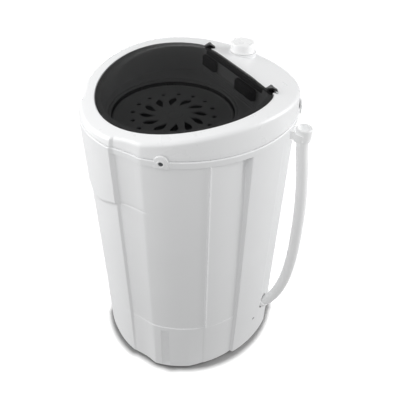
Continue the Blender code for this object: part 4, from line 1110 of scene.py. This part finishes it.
def knob():
    """The timer knob: flared skirt, finely fluted grip, and dished top with a pointer groove."""
    base = BOSS_TOP_Z + 0.5 * MM
    radius, height = KNOB_RADIUS / MM, KNOB_HEIGHT / MM
    bore, segments, flutes = 3.3, 192, 32
    profile = (
        (0, height - 4, 0), (bore, height - 4, 0), (bore, 0, 0), (radius, 0, 0.4),
        (radius, 2.8, 0.6), (radius - 0.8, 3.7, 0.6), (radius - 1, 9, 0),
        (radius - 1.2, height - 1.8, 0), (radius - 2.4, height, 1.2), (radius - 5.5, height, 0.8),
        (radius - 7, height - 0.6, 1), (0, height - 0.6),
    )
    rings = []
    for reach, z in rounded(profile, 1.0, 5, origin=(0.0, base)):
        count = segments if reach > 0 else 1
        grip = smoothstep(base + 4.4 * MM, base + 6 * MM, z)
        grip *= 1 - smoothstep(base + 13.8 * MM, base + 15.6 * MM, z)
        grip *= 1.0 if reach > KNOB_RADIUS - 2.2 * MM else 0.0
        ring = []
        for i in range(count):
            turn = 2 * pi * i / count
            cut = 0.28 * MM * grip * (0.5 - 0.5 * cos(flutes * turn))
            x, y = (reach - cut) * sin(turn), (reach - cut) * cos(turn)
            ring.append(Vector((KNOB_X + x, KNOB_Y - y, z)))
        rings.append(ring)
    made = loft("knob", rings)
    top = base + KNOB_HEIGHT
    low = (KNOB_X - 0.8 * MM, KNOB_Y - KNOB_RADIUS - 1 * MM, top - 1.2 * MM)
    high = (KNOB_X + 0.8 * MM, KNOB_Y - 6 * MM, top + 1 * MM)
    groove = block("cutter", low, high, 0.25 * MM)
    shape(made, [("DIFFERENCE", groove)])
    placed(made, "knob", "knob_plastic", "timer_knob")


def dial_marks():
    """A short raised arc on the deck in front of the knob, with a tick at each end."""
    reach = KNOB_RADIUS + 7.5 * MM
    for i, (start, end) in enumerate(((-42, -14), (-10, 16)), 1):
        line = arc(reach, start - 90, end - 90, 18)
        outline = line + list(reversed(arc(reach + 0.9 * MM, start - 90, end - 90, 18)))
        bm = bmesh.new()
        rows = []
        for rise in (-0.4 * MM, 0.25 * MM):
            points = [Vector((KNOB_X + x, KNOB_Y + y, crown(KNOB_Y + y) + rise)) for x, y in outline]
            rows.append([bm.verts.new(point) for point in points])
        skin(bm, *rows)
        for row in rows:
            for k in range(len(line) - 1):
                bm.faces.new([row[k], row[k + 1], row[-2 - k], row[-1 - k]])
        placed(mesh_object(f"dial_arc_{i}", bm), "cabinet", "cover_plastic")


def switch_boxes():
    """The lid switch and the brake's actuator: moulded housings with a lid line and side ribs."""
    back, front, ribs = BOX_BACK, BOX_BACK - BOX_DEPTH + 0.6 * MM, 4
    for node, low, high in (("lid_switch", -0.087, -0.047), ("brake_actuator", 0.020, 0.072)):
        near, far = (low, front, BOX_LOW_Z), (high, back, BOX_HIGH_Z - 4 * MM)
        placed(block(f"{node}_housing", near, far, 0.9 * MM), "cabinet", "black_plastic", node)
        near = (low + 0.5 * MM, front + 0.5 * MM, BOX_HIGH_Z - 3.7 * MM)
        far = (high - 0.5 * MM, back - 0.4 * MM, BOX_HIGH_Z)
        placed(block(f"{node}_cap", near, far, 1.2 * MM), "cabinet", "black_plastic")
        for i in range(1, ribs + 1):
            x = low + (high - low) * i / (ribs + 1)
            near = (x - 0.6 * MM, front - 0.6 * MM, BOX_LOW_Z + 2 * MM)
            far = (x + 0.6 * MM, front + 0.6 * MM, BOX_HIGH_Z - 6 * MM)
            placed(block(f"{node}_rib_{i}", near, far, 0.25 * MM), "cabinet", "black_plastic")


def hose_clip():
    """The cradle that holds the hose under its cup, on an arm from the cabinet's strip."""
    inner = HOSE_RADIUS + 3.9 * MM
    outer = inner + 2.0 * MM
    opening = 80.0
    wall = wall_reach(HOSE_TOP_ANGLE, RIM, SEAM_Z) + GAP - HOSE_TOP_REACH
    foot = 9.0 * MM
    hook = arc(outer, opening, 150, 18)
    outline = hook + [(wall, foot), (wall, -foot)]
    outline += [(x, -y) for x, y in reversed(hook)]
    outline += arc(inner, -opening, -360 + opening, 40)
    out = outward(HOSE_TOP_ANGLE)
    place = Matrix((out, UP.cross(out), UP)).transposed().to_4x4()
    place = Matrix.Translation(out * HOSE_TOP_REACH) @ place
    low = HOSE_TOP_Z - CUP_SLEEVE + 1 * MM
    made = slab("hose_cradle", outline, low, low + 14 * MM, place, bevel=0.35 * MM, segments=2)
    made.visible_shadow = False
    placed(made, "cabinet", "clip_plastic", "hose_clip")


def hose_grommet():
    """The sleeve that the hose leaves the cabinet through."""
    middle, along = wall_point(OUTLET_ANGLE, OUTLET_Z), outlet_direction()
    bore, edge = (HOSE_RADIUS + GAP) / MM, GROMMET_RADIUS / MM
    profile = [(bore, 0), (edge, 0), (edge, 6.5), (11.4, 9), (bore, 9)]
    made = lathe("outlet_sleeve", profile, 0.5, 64, steps=3)
    aim(made, middle - along * 5 * MM, along)
    made.visible_shadow = False
    placed(made, "cabinet", "clip_plastic", "hose_grommet")


def cord_gland():
    """The flanged rubber gland that a mains cord would pass through."""
    mouth, out = wall_point(GLAND_ANGLE, GLAND_Z), outward(GLAND_ANGLE)
    neck = GLAND_RADIUS / MM
    profile = [(3.4, 0, 0.4), (8.2, 0), (9, 1.2), (9, 2.9, 0.2)]
    profile += [(neck, 2.9, 0.2), (neck, 12), (3.4, 13.2, 0.2)]
    made = lathe("mains_gland", profile, 0.6, 48, steps=3)
    aim(made, mouth + out * 3.2 * MM, -out)
    placed(made, "cabinet", "black_rubber", "cord_gland")


shell()
fasteners()
feet()
cover()
lid()
press_plate()
drum()
splash_ring()
knob()
dial_marks()
switch_boxes()
hose_clip()
hose_grommet()
cord_gland()

for name, node in frame["nodes"].items():
    paint(node, SLOT_OF[name])


# Floor and light


def staged(made, material):
    """Scenery that neither lights the object nor shows in its reflections."""
    made.data.materials.append(material)
    made.visible_diffuse = False
    made.visible_glossy = False
    return made


def floor():
    """A plain grey floor, wide enough to fill the view."""
    bm = bmesh.new()
    bmesh.ops.create_grid(bm, x_segments=1, y_segments=1, size=15.0)
    made = mesh_object("floor", bm)
    m = Nodes("floor", (0.27, 0.27, 0.27), 0.9)
    fill(m.shader, {"Specular IOR Level": 0.0})
    return staged(made, m.made)


def backdrop():
    """A white surround that only the camera sees, so that no horizon shows behind the object."""
    bm = bmesh.new()
    bmesh.ops.create_uvsphere(bm, u_segments=48, v_segments=24, radius=14.0)
    made = mesh_object("backdrop", bm)
    m = Nodes("backdrop", (0.0, 0.0, 0.0), 1.0)
    glow = {"Emission Color": (1.0, 1.0, 1.0, 1.0), "Emission Strength": 1.05, "Specular IOR Level": 0.0}
    fill(m.shader, glow)
    made.visible_shadow = False
    staged(made, m.made)


def area_light(name, azimuth, elevation, distance, size, power):
    """A soft square light that faces the middle of the cabinet."""
    target = Vector((0.0, 0.0, 0.3))
    rise = radians(elevation)
    away = outward(azimuth) * cos(rise) + UP * sin(rise)
    data = bpy.data.lights.new(name, "AREA")
    data.energy = power
    data.size = size
    made = linked(name, data)
    made.location = target + away * distance
    made.rotation_euler = away.to_track_quat("Z", "Y").to_euler()


def lights(ground):
    """An even surround, a soft light on each side, a weak one in front, and a sun on the floor alone."""
    sun = bpy.data.lights.new("floor_sun", "SUN")
    sun.energy = 10.5
    sun.angle = radians(1.6)
    made = linked("floor_sun", sun)
    made.rotation_euler = Vector((-0.008, 0.005, 1.0)).to_track_quat("Z", "Y").to_euler()
    lit = bpy.data.collections.new("lit_by_sun")
    lit.objects.link(ground)
    made.light_linking.receiver_collection = lit
    # name, azimuth, elevation, distance, size, power
    area_light("left_front", -34.0, 27.0, 1.6, 1.0, 16.5)
    area_light("right_rear", 154.0, 27.0, 1.6, 1.0, 14.5)
    area_light("front_top", 50.0, 50.0, 1.0, 0.5, 1.2)
    world = bpy.data.worlds.new("world")
    world.use_nodes = True
    fill(world.node_tree.nodes["Background"], {"Color": (1.0, 1.0, 1.0, 1.0), "Strength": 0.55})
    bpy.context.scene.world = world


lights(floor())
backdrop()
bpy.context.scene.view_settings.view_transform = "Standard"
